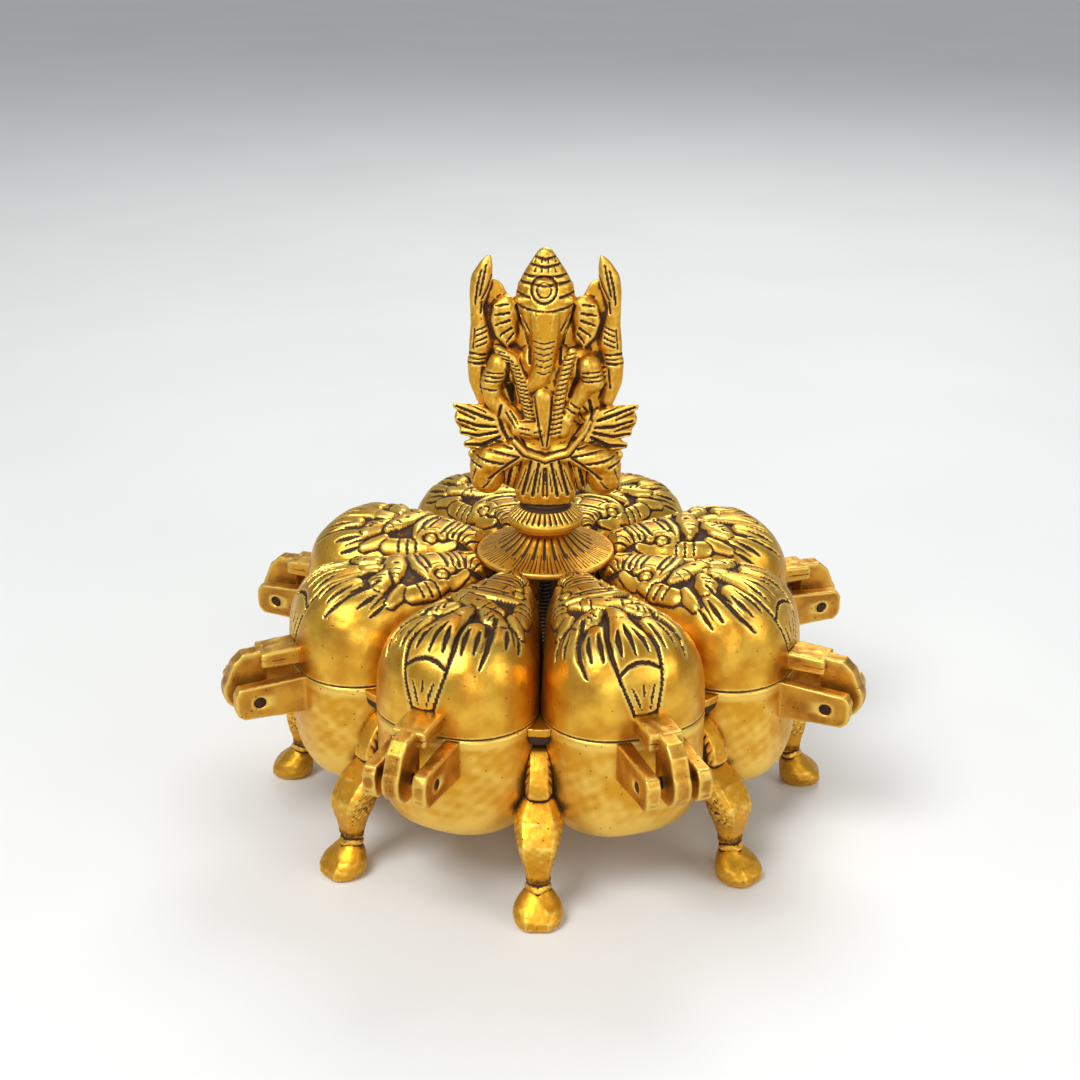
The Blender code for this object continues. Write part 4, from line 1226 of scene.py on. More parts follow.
@dataclass
class Disc:
    """The dished disc over the lids' tips, engraved with rays."""

    radius: float = 24.9
    low: float = 92.3
    edge: float = 2.3
    dish: float = 8.1
    bore: float = 3.2
    columns: int = 384
    rays: int = 26

    def mesh(self) -> bpy.types.Mesh:
        """The disc as one closed skin.

        Returns:
            The mesh in metres.
        """
        rim, rise = self.low + self.edge, self.dish
        profile = [
            (self.bore, rim + rise),
            (8.0, rim + rise),
            (10.0, rim + 0.88 * rise),
            (12.2, rim + 0.66 * rise),
            (15.0, rim + 0.44 * rise),
            (18.4, rim + 0.22 * rise),
            (21.6, rim + 0.09 * rise),
            (self.radius - 1.0, rim),
            (self.radius - 0.3, rim - 0.15),
            (self.radius, rim - 0.5),
            (self.radius, self.low + 0.4),
            (self.radius - 0.4, self.low),
            (18.0, self.low),
            (12.0, self.low + 0.45 * rise),
            (self.bore, self.low + 0.62 * rise),
            (self.bore, rim + rise),
        ]
        points = lathe(profile, self.columns, 0.42)
        r = np.hypot(points[..., 0], points[..., 1])
        turn = np.arctan2(points[..., 1], points[..., 0])
        top = smooth_step(0.0, 0.4, points[..., 2] - (self.low + self.edge - 0.2)) * (r > self.bore + 0.2)
        below = smooth_step(0, 1, np.arange(points.shape[0]) / points.shape[0] * 2 - 0.9)[:, None]
        top = top * (1 - below)
        ray = np.cos(turn * self.rays / 2)
        # near the middle the rays are raised leaves, every other one ending early; outside they are thin cuts
        leaf = np.abs(ray) ** 0.6
        furrow = (1 - leaf) * smooth_step(8.5, 10.0, r) * smooth_step(18.4, 16.2, r)
        wobble = 0.35 * np.sin(turn * 7 + 1.3) + 0.25 * np.sin(turn * 17 + 0.4)
        thin = (0.5 + 0.5 * np.cos(turn * 92 + wobble)) ** 9 * smooth_step(14.5, 16.0, r)
        thin = thin * smooth_step(24.4, 22.6, r + 1.5 * np.sin(turn * 23))
        cut = -(0.55 * furrow + 0.16 * thin) * top
        waves = (0.05 * unevenness(points, 6.0, 31) - 0.08) * (r > self.bore + 0.5)
        points[..., 2] += cut + waves * top
        dark = np.clip(smooth_step(0.18, 0.62, furrow * top) + smooth_step(0.25, 0.8, thin * top), 0, 1)
        skin = skin_of(points, dark)
        return mesh_from("disc", skin)


@dataclass
class Pedestal:
    """The finial's round foot, its shoulder fluted."""

    low: float = 103.0
    height: float = 10.6
    radius: float = 13.6
    neck: float = 8.6
    bore: float = 3.2
    blind: float = 112.9
    columns: int = 288
    flutes: int = 36

    def mesh(self) -> bpy.types.Mesh:
        """The pedestal as one closed skin.

        Returns:
            The mesh in metres.
        """
        z, h, r = self.low, self.height, self.radius
        profile = [
            (0.0, z + h),
            (self.neck - 0.5, z + h),
            (self.neck, z + h - 0.5),
            (self.neck - 0.2, z + 0.84 * h),
            (self.neck + 1.2, z + 0.76 * h),
            (0.84 * r, z + 0.62 * h),
            (0.95 * r, z + 0.52 * h),
            (r, z + 0.40 * h),
            (r, z + 0.28 * h),
            (0.96 * r, z + 0.17 * h),
            (0.87 * r, z + 0.08 * h),
            (0.72 * r, z + 0.01 * h),
            (0.6 * r, z),
            (self.bore, z),
            (self.bore, self.blind),
            (0.0, self.blind),
        ]
        points = lathe(profile, self.columns, 0.35)
        radius = np.hypot(points[..., 0], points[..., 1])
        turn = np.arctan2(points[..., 1], points[..., 0])
        where = smooth_step(self.neck + 0.4, self.neck + 1.6, radius) * smooth_step(r - 0.1, r - 1.2, radius)
        where = where * smooth_step(z + 0.42 * h, z + 0.5 * h, points[..., 2])
        flute = (0.5 + 0.5 * np.cos(turn * self.flutes + 0.3 * np.sin(turn * 5))) ** 3 * where
        points[..., 2] -= 0.75 * flute
        shrink = 1 - 0.03 * flute
        points[..., 0] *= shrink
        points[..., 1] *= shrink
        dark = smooth_step(0.2, 0.7, flute)
        dark = np.maximum(
            dark,
            0.7 * smooth_step(
                self.neck + 1.2, self.neck + 0.2, radius
            ) * smooth_step(z + 0.7 * h, z + 0.8 * h, points[..., 2])
        )
        return mesh_from("pedestal", skin_of(points, dark))


@dataclass
class Stud:
    """The threaded rod that the finial screws down on."""

    radius: float = 2.9
    low: float = 26.4
    high: float = 112.3
    pitch: float = 1.5
    columns: int = 30
    rows_per_turn: int = 7

    def mesh(self) -> bpy.types.Mesh:
        """The rod with a rolled thread along its whole length.

        Returns:
            The mesh in metres.
        """
        rows = int((self.high - self.low - 1.6) / self.pitch * self.rows_per_turn)
        z = np.linspace(self.low + 0.8, self.high - 0.8, rows)[:, None]
        turn = np.linspace(0, 2 * math.pi, self.columns + 1)[None, :]
        phase = z / self.pitch * 2 * math.pi - turn
        crest = 0.5 + 0.5 * np.cos(phase)
        r = self.radius - 0.75 + 0.75 * crest
        body = np.stack([r * np.cos(turn), r * np.sin(turn), z + 0 * turn], axis=2)
        ends = []
        for level, ring in ((self.low, body[0]), (self.high, body[-1])):
            tip = np.stack([ring[:, 0] * 0.72, ring[:, 1] * 0.72, np.full(self.columns + 1, level)], axis=1)
            middle = tip * np.array([0.0, 0.0, 1.0])
            ends.append((middle[None], tip[None]))
        points = np.concatenate([ends[0][0], ends[0][1], body, ends[1][1], ends[1][0]])
        return mesh_from("stud", skin_of(points))


Path = tuple[tuple[float, float, float], ...]


@dataclass(frozen=True)
class Mass:
    """One rounded mass of the figure: (x, z, half width) along its middle, its y and its depth over its width."""

    path: Path
    y: float
    depth: float
    mirrored: bool = True
    tall: float = 1.0  # the mass's height over its width


def cut(depth: float, *paths: Path, mirrored: bool = False, flat: float = 0.0) -> list[Stroke]:
    """Lines chased in (x, z), or ridges if depth is below 0, as strokes on the (z, x) map."""
    return [Stroke(tuple((z, x, w) for x, z, w in path), -depth, flat, mirrored) for path in paths]


@dataclass
class SeatedFigure:
    """The elephant-headed seated figure: masses joined into one skin, then chased from the front."""

    low: float = 113.9
    high: float = 205.6
    half_width: float = 33.9
    front: float = -9.0
    back: float = 6.6
    voxel: float = 0.45

    def masses(self) -> list[Mass]:
        """The figure's masses, its left side's mirrored to the right where both match."""
        return [
            # seat, skirt, belly, chest and shoulders
            Mass(((0, 115.2, 8.4), (0, 118.6, 10.2)), 0.6, 0.62, False),
            Mass(((0, 118.4, 11.4), (0, 124.0, 10.6), (0, 130.0, 9.0)), -1.6, 0.56, False),
            Mass(((0, 133, 10.5), (0, 143, 12.0), (0, 154, 11.5), (0, 162, 11.0)), 0.0, 0.56, False),
            Mass(((12.5, 163.5, 6.6), (17.0, 160.0, 5.2)), 0.4, 0.78),
            # head, cheeks, trunk and brow
            Mass(((0, 186.0, 9.7), (0, 180.0, 8.4), (0, 174.0, 6.2)), -1.6, 0.70, False),
            Mass(
                (
                    (0, 183.0, 6.0), (0, 175.5, 5.3), (-0.2, 169.0, 4.4), (-0.6, 164.4, 4.1), (-2.4, 160.0, 3.8),
                    (-4.9, 157.7, 2.9)
                ),
                -4.4, 0.92, False
            ),
            # crown: a stepped cone with its brow band and jewel
            Mass(((0, 186.6, 10.9), (0, 190.0, 10.4), (0, 192.6, 9.8)), 0.0, 0.62, False, 0.3),
            Mass(((0, 193.4, 9.2), (0, 195.6, 8.2)), 0.0, 0.62, False, 0.25),
            Mass(((0, 196.6, 7.6), (0, 198.6, 6.4)), 0.0, 0.64, False, 0.25),
            Mass(((0, 199.4, 5.8), (0, 201.2, 4.7)), 0.0, 0.68, False, 0.25),
            Mass(((0, 201.8, 4.2), (0, 203.4, 3.2)), 0.0, 0.72, False, 0.3),
            Mass(((0, 203.8, 2.6), (0, 204.8, 1.3)), 0.0, 0.8, False, 0.6),
            # the plate behind, which fills the openings between limbs and body
            Mass(
                (
                    (13.0, 151.0, 9.0), (15.0, 158.0, 9.5), (16.5, 168.0, 8.6), (17.5, 177.0, 7.2),
                    (17.8, 184.0, 6.4), (18.4, 189.5, 4.4)
                ),
                2.6, 0.26
            ),
            Mass(((6.5, 166.0, 4.6), (8.0, 172.0, 5.0), (8.6, 180.0, 5.0)), 2.6, 0.36),
            Mass(((13.0, 140.0, 7.0), (19.0, 141.0, 7.4), (25.0, 142.4, 6.4), (28.0, 143.6, 4.6)), 1.6, 0.32),
            Mass(((9.0, 120.6, 4.6), (12.6, 124.0, 6.0), (15.0, 129.0, 7.0)), 1.4, 0.6),
            Mass(
                ((-8.6, 188.2, 1.3), (-4.6, 187.2, 1.4), (0, 186.9, 1.4), (4.6, 187.2, 1.4), (8.6, 188.2, 1.3)),
                -4.9, 1.2, False
            ),
            Mass(((-0.3, 192.0, 4.0), (-0.3, 192.1, 4.0)), -4.6, 0.62, False),
            # ears
            Mass(((13.4, 183.5, 5.0), (14.2, 178.0, 4.6), (12.6, 174.0, 3.0)), 0.8, 0.62),
            Mass(((16.6, 184.6, 1.6), (17.6, 180.0, 1.5), (16.2, 175.0, 1.4), (13.4, 171.8, 1.2)), -0.6, 1.2),
            # raised hands on their forearms, and the upper arms behind
            Mass(
                (
                    (23.6, 166.0, 3.4), (22.6, 172.0, 4.1), (23.1, 178.0, 3.0), (23.9, 184.6, 2.3),
                    (23.0, 189.6, 3.3), (22.0, 194.0, 3.9), (20.5, 198.6, 2.6), (19.2, 202.2, 0.8)
                ),
                0.2, 0.78
            ),
            Mass(((23.8, 165.0, 3.7), (23.8, 158.0, 3.3), (22.0, 151.6, 2.6)), 0.8, 0.95),
            # front arms: the left one holds a sweet, the right one hangs to the lap
            Mass(
                (
                    (-15.8, 165.0, 4.3), (-18.9, 158.6, 3.8), (-18.2, 152.6, 3.5), (-13.8, 147.6, 3.3),
                    (-10.2, 144.4, 3.1)
                ),
                -3.6, 1.0, False
            ),
            Mass(
                ((15.2, 164.4, 4.2), (17.0, 158.6, 3.8), (14.0, 156.6, 3.3), (10.6, 151.4, 3.0), (7.8, 146.2, 2.6)),
                -3.6, 1.0, False
            ),
            Mass(((-8.9, 142.6, 3.3), (-5.4, 142.0, 3.4), (-2.0, 142.0, 3.0)), -6.0, 0.85, False),
            Mass(((7.6, 145.2, 2.4), (6.4, 141.2, 2.2)), -5.6, 0.9, False),
            # the sash's flares, thin and spread behind
            Mass(((15, 143.6, 3.0), (23, 146.0, 2.7), (31.8, 148.4, 1.2)), 0.6, 0.85),
            Mass(((15, 142.0, 3.0), (23, 142.4, 2.9), (31.0, 143.6, 1.3)), 0.4, 0.85),
            Mass(((15, 140.4, 3.0), (22, 138.8, 2.8), (29.4, 138.8, 1.4)), 0.3, 0.85),
            Mass(((14, 139.0, 3.0), (21, 135.4, 2.6), (28.0, 134.2, 1.4)), 0.2, 0.85),
            Mass(((13, 137.4, 3.0), (19, 132.6, 2.6), (26.2, 130.6, 1.6)), 0.0, 0.85),
            # knees and crossed shins
            Mass(((20.4, 127.0, 6.8), (20.8, 122.4, 6.2)), -1.4, 0.88),
            Mass(((19.0, 129.4, 5.4), (11.0, 132.4, 4.6), (4.0, 133.0, 4.0)), -3.6, 0.9),
            # garlands, raised cords down both sides of the chest
            Mass(
                (
                    (-16.0, 170.6, 1.6), (-11.2, 167.4, 1.9), (-8.8, 160.6, 2.0), (-7.2, 154.0, 2.0),
                    (-5.4, 145.8, 1.6)
                ),
                -5.6, 1.0, False
            ),
            Mass(
                ((9.4, 170.2, 1.6), (7.4, 164.6, 2.0), (5.8, 158.0, 2.0), (4.6, 149.0, 1.9), (3.4, 140.0, 1.5)),
                -5.8, 1.0, False
            ),
            Mass(((-0.8, 153.6, 3.4), (-0.4, 146.0, 2.6), (0.0, 136.0, 1.3)), -6.0, 0.8, False),
            # the cord over the belly
            Mass(
                (
                    (-10.8, 138.0, 0.9), (-6.9, 133.6, 1.0), (0, 131.2, 1.1), (8.0, 133.6, 1.0), (14.4, 142.0, 0.9),
                    (18.4, 149.4, 0.8)
                ),
                -7.2, 1.0, False
            ),
        ]

    def chasing(self) -> list[Stroke]:
        """Every line, rib and ring that is chased into the front."""
        lines: list[Stroke] = []
        # the crown's tiers, the band over the brow and the jewel's ring
        for z, reach in ((203.4, 3.6), (200.9, 5.6), (197.4, 7.8), (195.0, 9.2)):
            lines += cut(0.75, ((-reach, z - 0.9, 0.5), (0, z - 1.7, 0.6), (reach, z - 0.9, 0.5)))
        for z in (198.9, 202.0):
            for x in (-3.6, -1.2, 1.2, 3.6):
                lines += cut(0.45, ((x, z - 1.2, 0.35), (x * 0.9, z + 0.2, 0.3)))
        lines += cut(0.7, ((-10.2, 190.4, 0.5), (-5.2, 189.4, 0.5)), ((10.2, 190.4, 0.5), (5.2, 189.4, 0.5)))
        lines += cut(
            0.7, ((-9.6, 186.2, 0.5), (-4.6, 185.2, 0.5), (0, 184.9, 0.5), (4.6, 185.2, 0.5), (9.6, 186.2, 0.5))
        )
        ring = tuple(
            (-0.3 + 4.4 * math.cos(t), 192.0 + 4.4 * math.sin(t), 0.45) for t in np.linspace(0, 2 * math.pi, 17)
        )
        small = tuple(
            (-0.3 + 2.5 * math.cos(t), 192.0 + 2.5 * math.sin(t), 0.35) for t in np.linspace(0, 2 * math.pi, 13)
        )
        lines += cut(0.9, ring) + cut(0.5, small)
        # eyes, brows, the mark between them and the head's sides
        lines += cut(
            0.7, ((9.2, 183.8, 0.4), (7.4, 181.6, 0.5), (5.6, 178.0, 0.4)),
            ((8.2, 181.6, 0.35), (6.6, 179.6, 0.6), (5.4, 177.4, 0.3)), mirrored=True
        )
        lines += cut(-0.5, ((9.0, 182.8, 0.4), (7.0, 180.6, 0.55), (5.6, 178.4, 0.4)), mirrored=True)
        lines += cut(
            0.35, ((-3.4, 184.2, 0.3), (-0.6, 182.6, 0.35), (2.4, 184.0, 0.3)),
            ((-0.7, 181.6, 0.5), (-0.7, 179.6, 0.3))
        )
        lines += cut(
            0.9, ((10.0, 185.4, 0.6), (8.6, 180.0, 0.6), (6.6, 175.6, 0.6), (5.4, 170.4, 0.6), (5.2, 165.6, 0.5)),
            mirrored=True
        )
        for z, reach in ((174.2, 3.6), (172.2, 3.4), (170.0, 3.0), (167.8, 2.8), (165.4, 2.6), (163.0, 2.4)):
            lines += cut(0.3, ((-reach - 0.4, z + 0.3, 0.28), (-0.3, z - 0.5, 0.34), (reach - 0.4, z + 0.3, 0.28)))
        # the ears' ribs
        lines += cut(
            0.7, ((17.0, 185.2, 0.35), (13.0, 185.6, 0.5)), ((17.4, 182.0, 0.35), (12.6, 182.6, 0.55)),
            ((17.2, 178.4, 0.35), (12.4, 180.0, 0.55)), ((15.6, 174.6, 0.35), (11.8, 177.2, 0.5)),
            ((13.4, 172.2, 0.3), (11.2, 175.0, 0.45)), mirrored=True
        )
        # the raised hands: fingers, thumb and the rings on the wrist and the arm
        lines += cut(
            0.65, ((21.9, 197.7, 0.3), (23.2, 192.3, 0.45), (24.2, 185.9, 0.35)),
            ((18.4, 195.9, 0.3), (19.9, 191.4, 0.5), (21.9, 187.4, 0.4)),
            ((20.2, 199.4, 0.3), (21.4, 194.0, 0.45), (22.6, 188.6, 0.35)),
            ((21.9, 186.6, 0.4), (22.3, 182.6, 0.4)), mirrored=True
        )
        for z in (177.4, 175.6, 173.6, 171.8):
            lines += cut(0.5, ((24.0, z - 1.0, 0.35), (20.4, z + 0.5, 0.4)), mirrored=True)
        lines += cut(
            0.8, ((27.4, 168.4, 0.45), (20.8, 167.8, 0.45)), ((27.4, 164.9, 0.45), (21.4, 164.7, 0.45)),
            mirrored=True
        )
        lines += cut(0.4, ((27.4, 166.6, 0.3), (21.0, 166.3, 0.3)), mirrored=True)
        lines += cut(
            0.4, ((24.4, 177.0, 0.35), (25.0, 170.4, 0.4)), ((22.0, 162.8, 0.4), (22.6, 156.0, 0.4)), mirrored=True
        )
        # the front arms' rings
        for z in (163.0, 161.4, 159.8):
            lines += cut(
                0.5, ((-22.0, z, 0.35), (-14.6, z - 0.5, 0.4)), ((20.8, z + 0.4, 0.35), (13.0, z - 0.3, 0.4))
            )
        lines += cut(
            0.55, ((-13.6, 148.2, 0.4), (-10.6, 143.2, 0.4)), ((-12.2, 148.6, 0.35), (-9.4, 144.4, 0.35)),
            ((-22.2, 156.9, 0.3), (-17.1, 156.4, 0.35))
        )
        lines += cut(0.55, ((9.0, 151.6, 0.4), (12.2, 149.2, 0.4)), ((7.8, 149.6, 0.35), (10.8, 147.4, 0.35)))
        lines += cut(
            0.9, ((-12.6, 166.0, 0.7), (-13.6, 157.0, 0.9), (-11.6, 150.6, 0.8)),
            ((11.6, 166.4, 0.7), (11.2, 160.0, 0.9), (8.6, 153.8, 0.8))
        )
        lines += cut(
            0.5, ((-9.0, 145.1, 0.35), (-3.6, 145.2, 0.35)), ((-3.6, 141.4, 0.4), (-1.2, 142.0, 0.4)),
            ((-8.4, 141.2, 0.3), (-5.0, 140.4, 0.35)), ((-8.6, 143.2, 0.3), (-5.4, 142.6, 0.3))
        )
        # the garlands' beads, and the strands of the sash beside the left one
        for k in range(17):
            t = k / 16
            x, z = np.interp(t, [0, 0.2, 0.45, 0.7, 1], [-15.6, -11.2, -8.8, -7.2, -5.4]), 170.2 - 24.0 * t
            lines += cut(0.5, ((x - 1.9, z + 0.7, 0.3), (x + 1.9, z - 0.4, 0.34)))
            x, z = np.interp(t, [0, 0.2, 0.45, 0.75, 1], [9.4, 7.4, 5.9, 4.6, 3.4]), 169.6 - 29.0 * t
            lines += cut(0.5, ((x - 1.9, z - 0.4, 0.3), (x + 1.9, z + 0.7, 0.34)))
        for off in (0.0, 2.0):
            lines += cut(0.5, ((-13.8 + off, 164.0, 0.35), (-12.4 + off, 158.0, 0.4), (-11.0 + off, 151.0, 0.35)))
        lines += cut(
            0.8, ((-3.6, 154.0, 0.45), (-2.6, 146.0, 0.45), (-0.8, 136.0, 0.4)),
            ((2.4, 154.0, 0.45), (1.9, 146.0, 0.45), (0.6, 136.0, 0.4))
        )
        lines += cut(
            0.6,
            ((-12.2, 137.4, 0.4), (-7.2, 132.2, 0.45), (0, 129.6, 0.5), (8.4, 132.2, 0.45), (15.4, 141.0, 0.4)),
            ((-10.0, 139.8, 0.4), (-6.4, 135.2, 0.4), (0, 132.8, 0.45), (7.4, 135.0, 0.4), (13.2, 142.6, 0.4))
        )
        lines += cut(
            0.5, ((11.8, 149.8, 0.35), (14.8, 146.7, 0.4)), ((9.9, 148.1, 0.35), (13.7, 143.9, 0.4)),
            ((9.1, 145.5, 0.35), (11.8, 142.1, 0.35))
        )
        # the sash's folds
        lines += cut(
            1.0, ((31.4, 148.4, 0.45), (25.6, 146.2, 0.75), (18.6, 143.8, 0.6)),
            ((30.6, 143.4, 0.5), (24.6, 141.6, 0.8), (17.8, 141.2, 0.6)),
            ((29.6, 138.6, 0.5), (23.8, 137.8, 0.8), (17.0, 139.4, 0.6)),
            ((28.4, 134.2, 0.5), (22.6, 134.4, 0.8), (16.2, 137.6, 0.6)), mirrored=True
        )
        lines += cut(
            0.5, ((31.0, 150.4, 0.3), (25.6, 148.4, 0.4), (21.0, 146.6, 0.3)),
            ((30.8, 146.0, 0.3), (25.0, 144.0, 0.4)), ((30.0, 141.0, 0.3), (24.6, 139.8, 0.4)), mirrored=True
        )
        lines += cut(
            0.8, ((15.4, 150.6, 0.6), (16.4, 145.6, 0.7), (15.0, 140.4, 0.7), (13.0, 136.6, 0.6)), mirrored=True
        )
        # the knees' folds
        lines += cut(
            0.75, ((25.6, 131.8, 0.4), (20.5, 130.6, 0.65), (14.6, 129.4, 0.5)),
            ((22.8, 134.6, 0.4), (16.4, 133.4, 0.6), (9.6, 132.0, 0.45)), ((26.4, 129.4, 0.35), (22.6, 128.0, 0.5)),
            ((18.2, 136.4, 0.4), (11.6, 134.9, 0.45)), mirrored=True
        )
        lines += cut(
            0.9, ((9.3, 131.8, 0.5), (12.8, 129.4, 0.7), (16.2, 126.6, 0.7), (19.8, 123.6, 0.5)), mirrored=True
        )
        lines += cut(
            0.4, ((24.6, 127.0, 0.3), (25.8, 122.6, 0.35)), ((22.0, 120.0, 0.35), (18.4, 124.0, 0.35)),
            mirrored=True
        )
        # the skirt's pleats
        for x0, x1, top in (
            (0.3, 0.6, 127.6), (2.2, 4.4, 129.4), (4.9, 8.0, 130.2), (8.4, 11.2, 130.0), (11.6, 13.8, 127.6),
            (14.8, 15.2, 126.2)
        ):
            lines += cut(0.95, ((x0, top, 0.4), ((x0 + x1) / 2, 123.6, 0.65), (x1, 117.6, 0.6)), mirrored=True)
        for x0, x1 in ((1.4, 2.6), (3.8, 6.2), (6.8, 9.6)):
            lines += cut(0.4, ((x0, 126.6, 0.25), (x1, 119.0, 0.35)), mirrored=True)
        return lines

    def joined(self) -> bpy.types.Mesh:
        """The masses as one skin of small faces.

        Returns:
            The mesh in mm.
        """
        ball = bmesh.new()
        bmesh.ops.create_uvsphere(ball, u_segments=14, v_segments=8, radius=1.0)
        pellet = bpy.data.meshes.new("pellet")
        ball.to_mesh(pellet)
        ball.free()
        bm = bmesh.new()
        for mass in self.masses():
            path = np.array(mass.path)
            steps = np.concatenate([[0], np.cumsum(np.hypot(*np.diff(path[:, :2], axis=0).T))])
            t, spots = 0.0, []
            while t < steps[-1]:
                spots.append([float(np.interp(t, steps, path[:, i])) for i in range(3)])
                t += max(0.35 * spots[-1][2] * mass.tall, 0.3)
            spots.append(list(mass.path[-1]))
            for x, z, w in spots:
                for side in (1, -1) if mass.mirrored else (1,):
                    stamp = pellet.copy()
                    stamp.transform(
                        Matrix.Translation((x * side, mass.y, z)) @ Matrix.Diagonal(
                            (w, w * mass.depth, w * mass.tall, 1)
                        )
                    )
                    bm.from_mesh(stamp)
                    bpy.data.meshes.remove(stamp)
        rough = bpy.data.meshes.new("figure_masses")
        bm.to_mesh(rough)
        bm.free()
        bpy.data.meshes.remove(pellet)
        block = bpy.data.objects.new("figure_masses", rough)
        bpy.context.scene.collection.objects.link(block)
        remesh = block.modifiers.new("one_skin", "REMESH")
        remesh.mode = "VOXEL"
        remesh.voxel_size = self.voxel
        skin = bpy.data.meshes.new_from_object(block.evaluated_get(bpy.context.evaluated_depsgraph_get()))
        bpy.data.objects.remove(block, do_unlink=True)
        bpy.data.meshes.remove(rough)
        return skin

    def mesh(self) -> bpy.types.Mesh:
        """The finished figure.

        Returns:
            The mesh in metres.
        """
        skin = self.joined()
        bm = bmesh.new()
        bm.from_mesh(skin)
        bpy.data.meshes.remove(skin)
        for _ in range(3):
            bmesh.ops.smooth_vert(bm, verts=bm.verts, factor=0.5, use_axis_x=True, use_axis_y=True, use_axis_z=True)
        bm.normal_update()
        places = np.array([v.co for v in bm.verts])
        facing = smooth_step(0.02, 0.5, -np.array([v.normal.y for v in bm.verts]))
        height = carve(np.zeros(len(places)), self.chasing(), places[:, 2], places[:, 0])
        lumps = 0.10 * unevenness(places, 4.5, 41) + 0.04 * unevenness(places, 1.8, 42)
        places[:, 1] -= (np.maximum(height, -1.3) + lumps) * facing
        places[:, 0] = places[:, 0].clip(-self.half_width, self.half_width)
        places[:, 1] = places[:, 1].clip(self.front, self.back)
        places[:, 2] = places[:, 2].clip(self.low, self.high)
        for vertex, place in zip(bm.verts, places):
            vertex.co = place
        LOG.info("figure: from %.1f to %.1f mm", places[:, 2].min(), places[:, 2].max())
        return mesh_from("figure", bm)


# ---- Stage --------------------------------------------------------------------------------------
@dataclass
class Studio:
    """A plain pale floor, soft light and the camera."""

    elevation: float = 22.63
    bearing: float = 1.51
    distance: float = 643.5
    aim_height: float = 97.5
    lens: float = 59.03
    shift: float = -0.0051

    def build(self) -> None:
        """Makes the floor, the lights and the camera."""
        self.floor()
        self.lights()
        self.camera()

    def floor(self) -> None:
        """A pale matt floor."""
        bm = bmesh.new()
        bmesh.ops.create_grid(bm, x_segments=1, y_segments=1, size=6.0)
        bmesh.ops.translate(bm, vec=(0, 2.0, -0.0002), verts=bm.verts)
        mesh = bpy.data.meshes.new("floor")
        bm.to_mesh(mesh)
        bm.free()
        made = bpy.data.materials.new("matt_painted_table")
        made.use_nodes = True
        tree = made.node_tree
        add = partial(add_node, tree)
        shader = tree.nodes["Principled BSDF"]
        place = add("TexCoord", output="Object")
        cloud = add("TexNoise", {"Vector": place, "Scale": 6.0, "Detail": 2.0}, "Fac")
        paint = add("Mix", {0: cloud, 6: linear("#DCDCDA"), 7: linear("#E6E6E4")}, 2, data_type="RGBA")
        tree.links.new(paint, shader.inputs["Base Color"])
        shader.inputs["Roughness"].default_value = 0.55
        mesh.materials.append(made)
        floor = bpy.data.objects.new("floor", mesh)
        bpy.context.scene.collection.objects.link(floor)

    def lights(self) -> None:
        """A large soft key from the upper left, a fill and a back light, in a pale room."""
        world = bpy.data.worlds.new("pale_room")
        bpy.context.scene.world = world
        world.use_nodes = True
        back = world.node_tree.nodes["Background"]
        back.inputs["Color"].default_value = linear("#DDE3E6")
        back.inputs["Strength"].default_value = 0.55
        for name, place, size, power in (
            ("key", (-0.55, -0.75, 1.25), 0.75, 16.0),
            ("fill", (1.1, -0.7, 0.7), 0.9, 5.0),
            ("back", (0.2, 1.0, 1.1), 0.8, 8.0),
            ("front", (0.15, -1.6, 0.55), 0.5, 3.5),
        ):
            light = bpy.data.lights.new(name, "AREA")
            light.shape = "DISK"
            light.size = size
            light.energy = power
            lamp = bpy.data.objects.new(name, light)
            lamp.location = place
            lamp.rotation_mode = "QUATERNION"
            lamp.rotation_quaternion = (Vector(place) - Vector((0, 0, 0.09))).to_track_quat("Z", "Y")
            bpy.context.scene.collection.objects.link(lamp)

    def camera(self) -> None:
        """The camera at its viewing angle, with a little shift for the framing."""
        rise, side = math.radians(self.elevation), math.radians(self.bearing)
        data = bpy.data.cameras.new("camera")
        data.sensor_width = 36.0
        data.lens = self.lens
        data.shift_x = self.shift
        camera = bpy.data.objects.new("camera", data)
        flat = self.distance * math.cos(rise)
        place = Vector(
            (flat * math.sin(side), -flat * math.cos(side), self.aim_height + self.distance * math.sin(rise))
        )
        camera.location = place * MM
        camera.rotation_mode = "QUATERNION"
        camera.rotation_quaternion = (place - Vector((0, 0, self.aim_height))).to_track_quat("Z", "Y")
        bpy.context.scene.collection.objects.link(camera)
        bpy.context.scene.camera = camera
        bpy.context.scene.view_settings.view_transform = "Standard"


# ---- The box ------------------------------------------------------------------------------------
@dataclass
class Finishes:
    """The box's finishes, made once."""

    cast: bpy.types.Material
    lid: bpy.types.Material
    stained: bpy.types.Material
    steel: bpy.types.Material


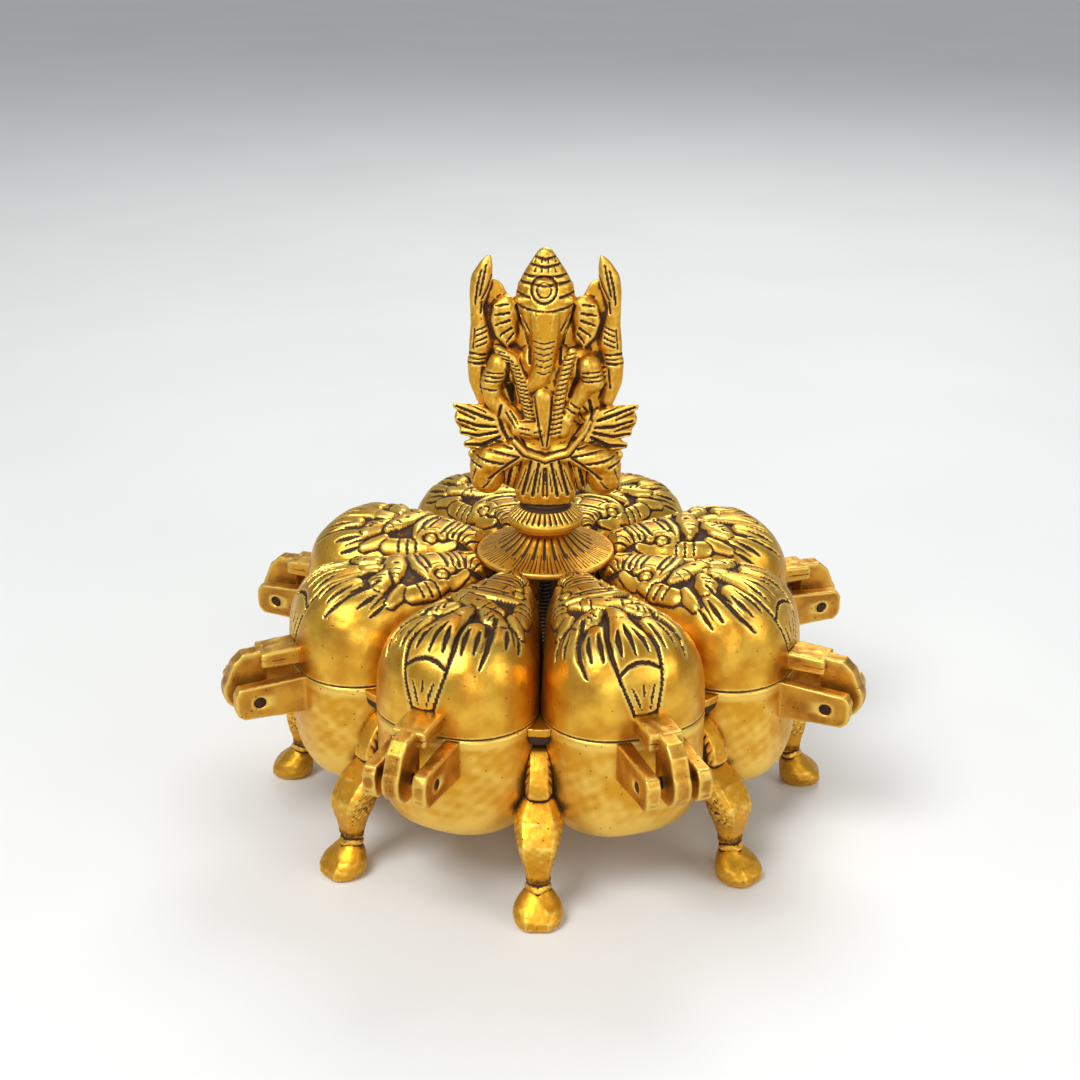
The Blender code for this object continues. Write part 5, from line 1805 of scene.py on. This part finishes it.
def build_petals(finishes: Finishes) -> None:
    """Makes the bowls, lids, hinges and pins."""
    lid, bowl, hinge = Lid(), Bowl(), Hinge()
    shell, pot = lid.shell_mesh(), bowl.shell_mesh()
    ears, tongue, strap, pin = hinge.ears_mesh(), hinge.tongue_mesh(), hinge.strap_mesh(), hinge.pin_mesh()
    for mesh in (shell, pot):
        age(mesh)
    for mesh in (ears, tongue, strap):
        age(mesh, fine=0.25, broad=1.1)
    for index in range(PETALS):
        number, angle = index + 1, petal_angle(index)
        lid_body = f"lid_{number}_body"
        for kind, mesh, body, finish, slot, node in (
            ("lid_shell", shell, lid_body, finishes.lid, Slot.LID, "lid"),
            ("lid_strap", strap, lid_body, finishes.stained, Slot.LID, ""),
            ("lid_tongue", tongue, lid_body, finishes.stained, Slot.LID, ""),
            ("bowl_shell", pot, "base", finishes.cast, Slot.CAST, "bowl"),
            ("bowl_ears", ears, "base", finishes.stained, Slot.CAST, ""),
            ("pin", pin, "base", finishes.steel, Slot.STEEL, "hinge_pin"),
        ):
            name = f"{kind}_{number}"
            add_piece(
                name, turned_copy(mesh, name, angle), body, finish, (f"{node}_{number}",) if node else ()
            )


def build_legs(finishes: Finishes) -> None:
    """Makes the eight legs."""
    leg = Leg().mesh()
    age(leg, fine=0.15, broad=0.75)
    for index in range(PETALS):
        name = f"leg_paw_{index + 1}"
        add_piece(
            name, turned_copy(leg, name, leg_angle(index)), "base", finishes.cast, (f"leg_{index + 1}",)
        )


def build_centre(finishes: Finishes) -> None:
    """Makes the disc, the pedestal, the stud and what holds it."""
    disc, pedestal, stud, figure = Disc().mesh(), Pedestal().mesh(), Stud().mesh(), SeatedFigure().mesh()
    for mesh in (disc, pedestal):
        age(mesh)
    age(figure, fine=0.16, broad=0.75)
    write_layer(stud, "worn", smooth_step(0.0, 0.15, -hollows(stud, 3)) * 0.5)
    for name, mesh, body, finish, slot, node in (
        ("disc", disc, "disc", finishes.cast, Slot.CAST, "clamp_disc"),
        ("finial_pedestal", pedestal, "finial", finishes.cast, Slot.CAST, "pedestal"),
        ("threaded_stud", stud, "base", finishes.steel, Slot.STEEL, "centre_stud"),
        ("seated_figure_cast", figure, "finial", finishes.cast, Slot.CAST, "seated_figure"),
    ):
        add_piece(name, mesh, body, finish, (node,))
    for name, material in (("hub", finishes.cast), ("stud_washer", finishes.steel), ("stud_nut", finishes.steel)):
        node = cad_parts[name]
        node.data.materials.clear()
        node.data.materials.append(material)


def main() -> None:
    """Builds the box's pieces in order, then the stage."""
    finishes = Finishes(
        cast=AntiquedBrass(
            "antiqued_cast_brass", bright="#DBA02F", deep="#D1962A", roughness=0.44, pore_share=0.10
        ).material(),
        lid=AntiquedBrass("polished_cast_brass", roughness=0.36, bump=0.07, pore_share=0.10).material(),
        stained=AntiquedBrass(
            "stained_rough_brass", bright="#DDA53E", deep="#B0742A", tarnish=0.10, roughness=0.40, bump=0.16,
            pore_share=0.22
        ).material(),
        steel=BlackenedSteel("blackened_turned_steel").material(),
    )
    build_petals(finishes)
    build_legs(finishes)
    build_centre(finishes)
    Studio().build()
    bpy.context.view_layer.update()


if __name__ == "__main__":
    main()
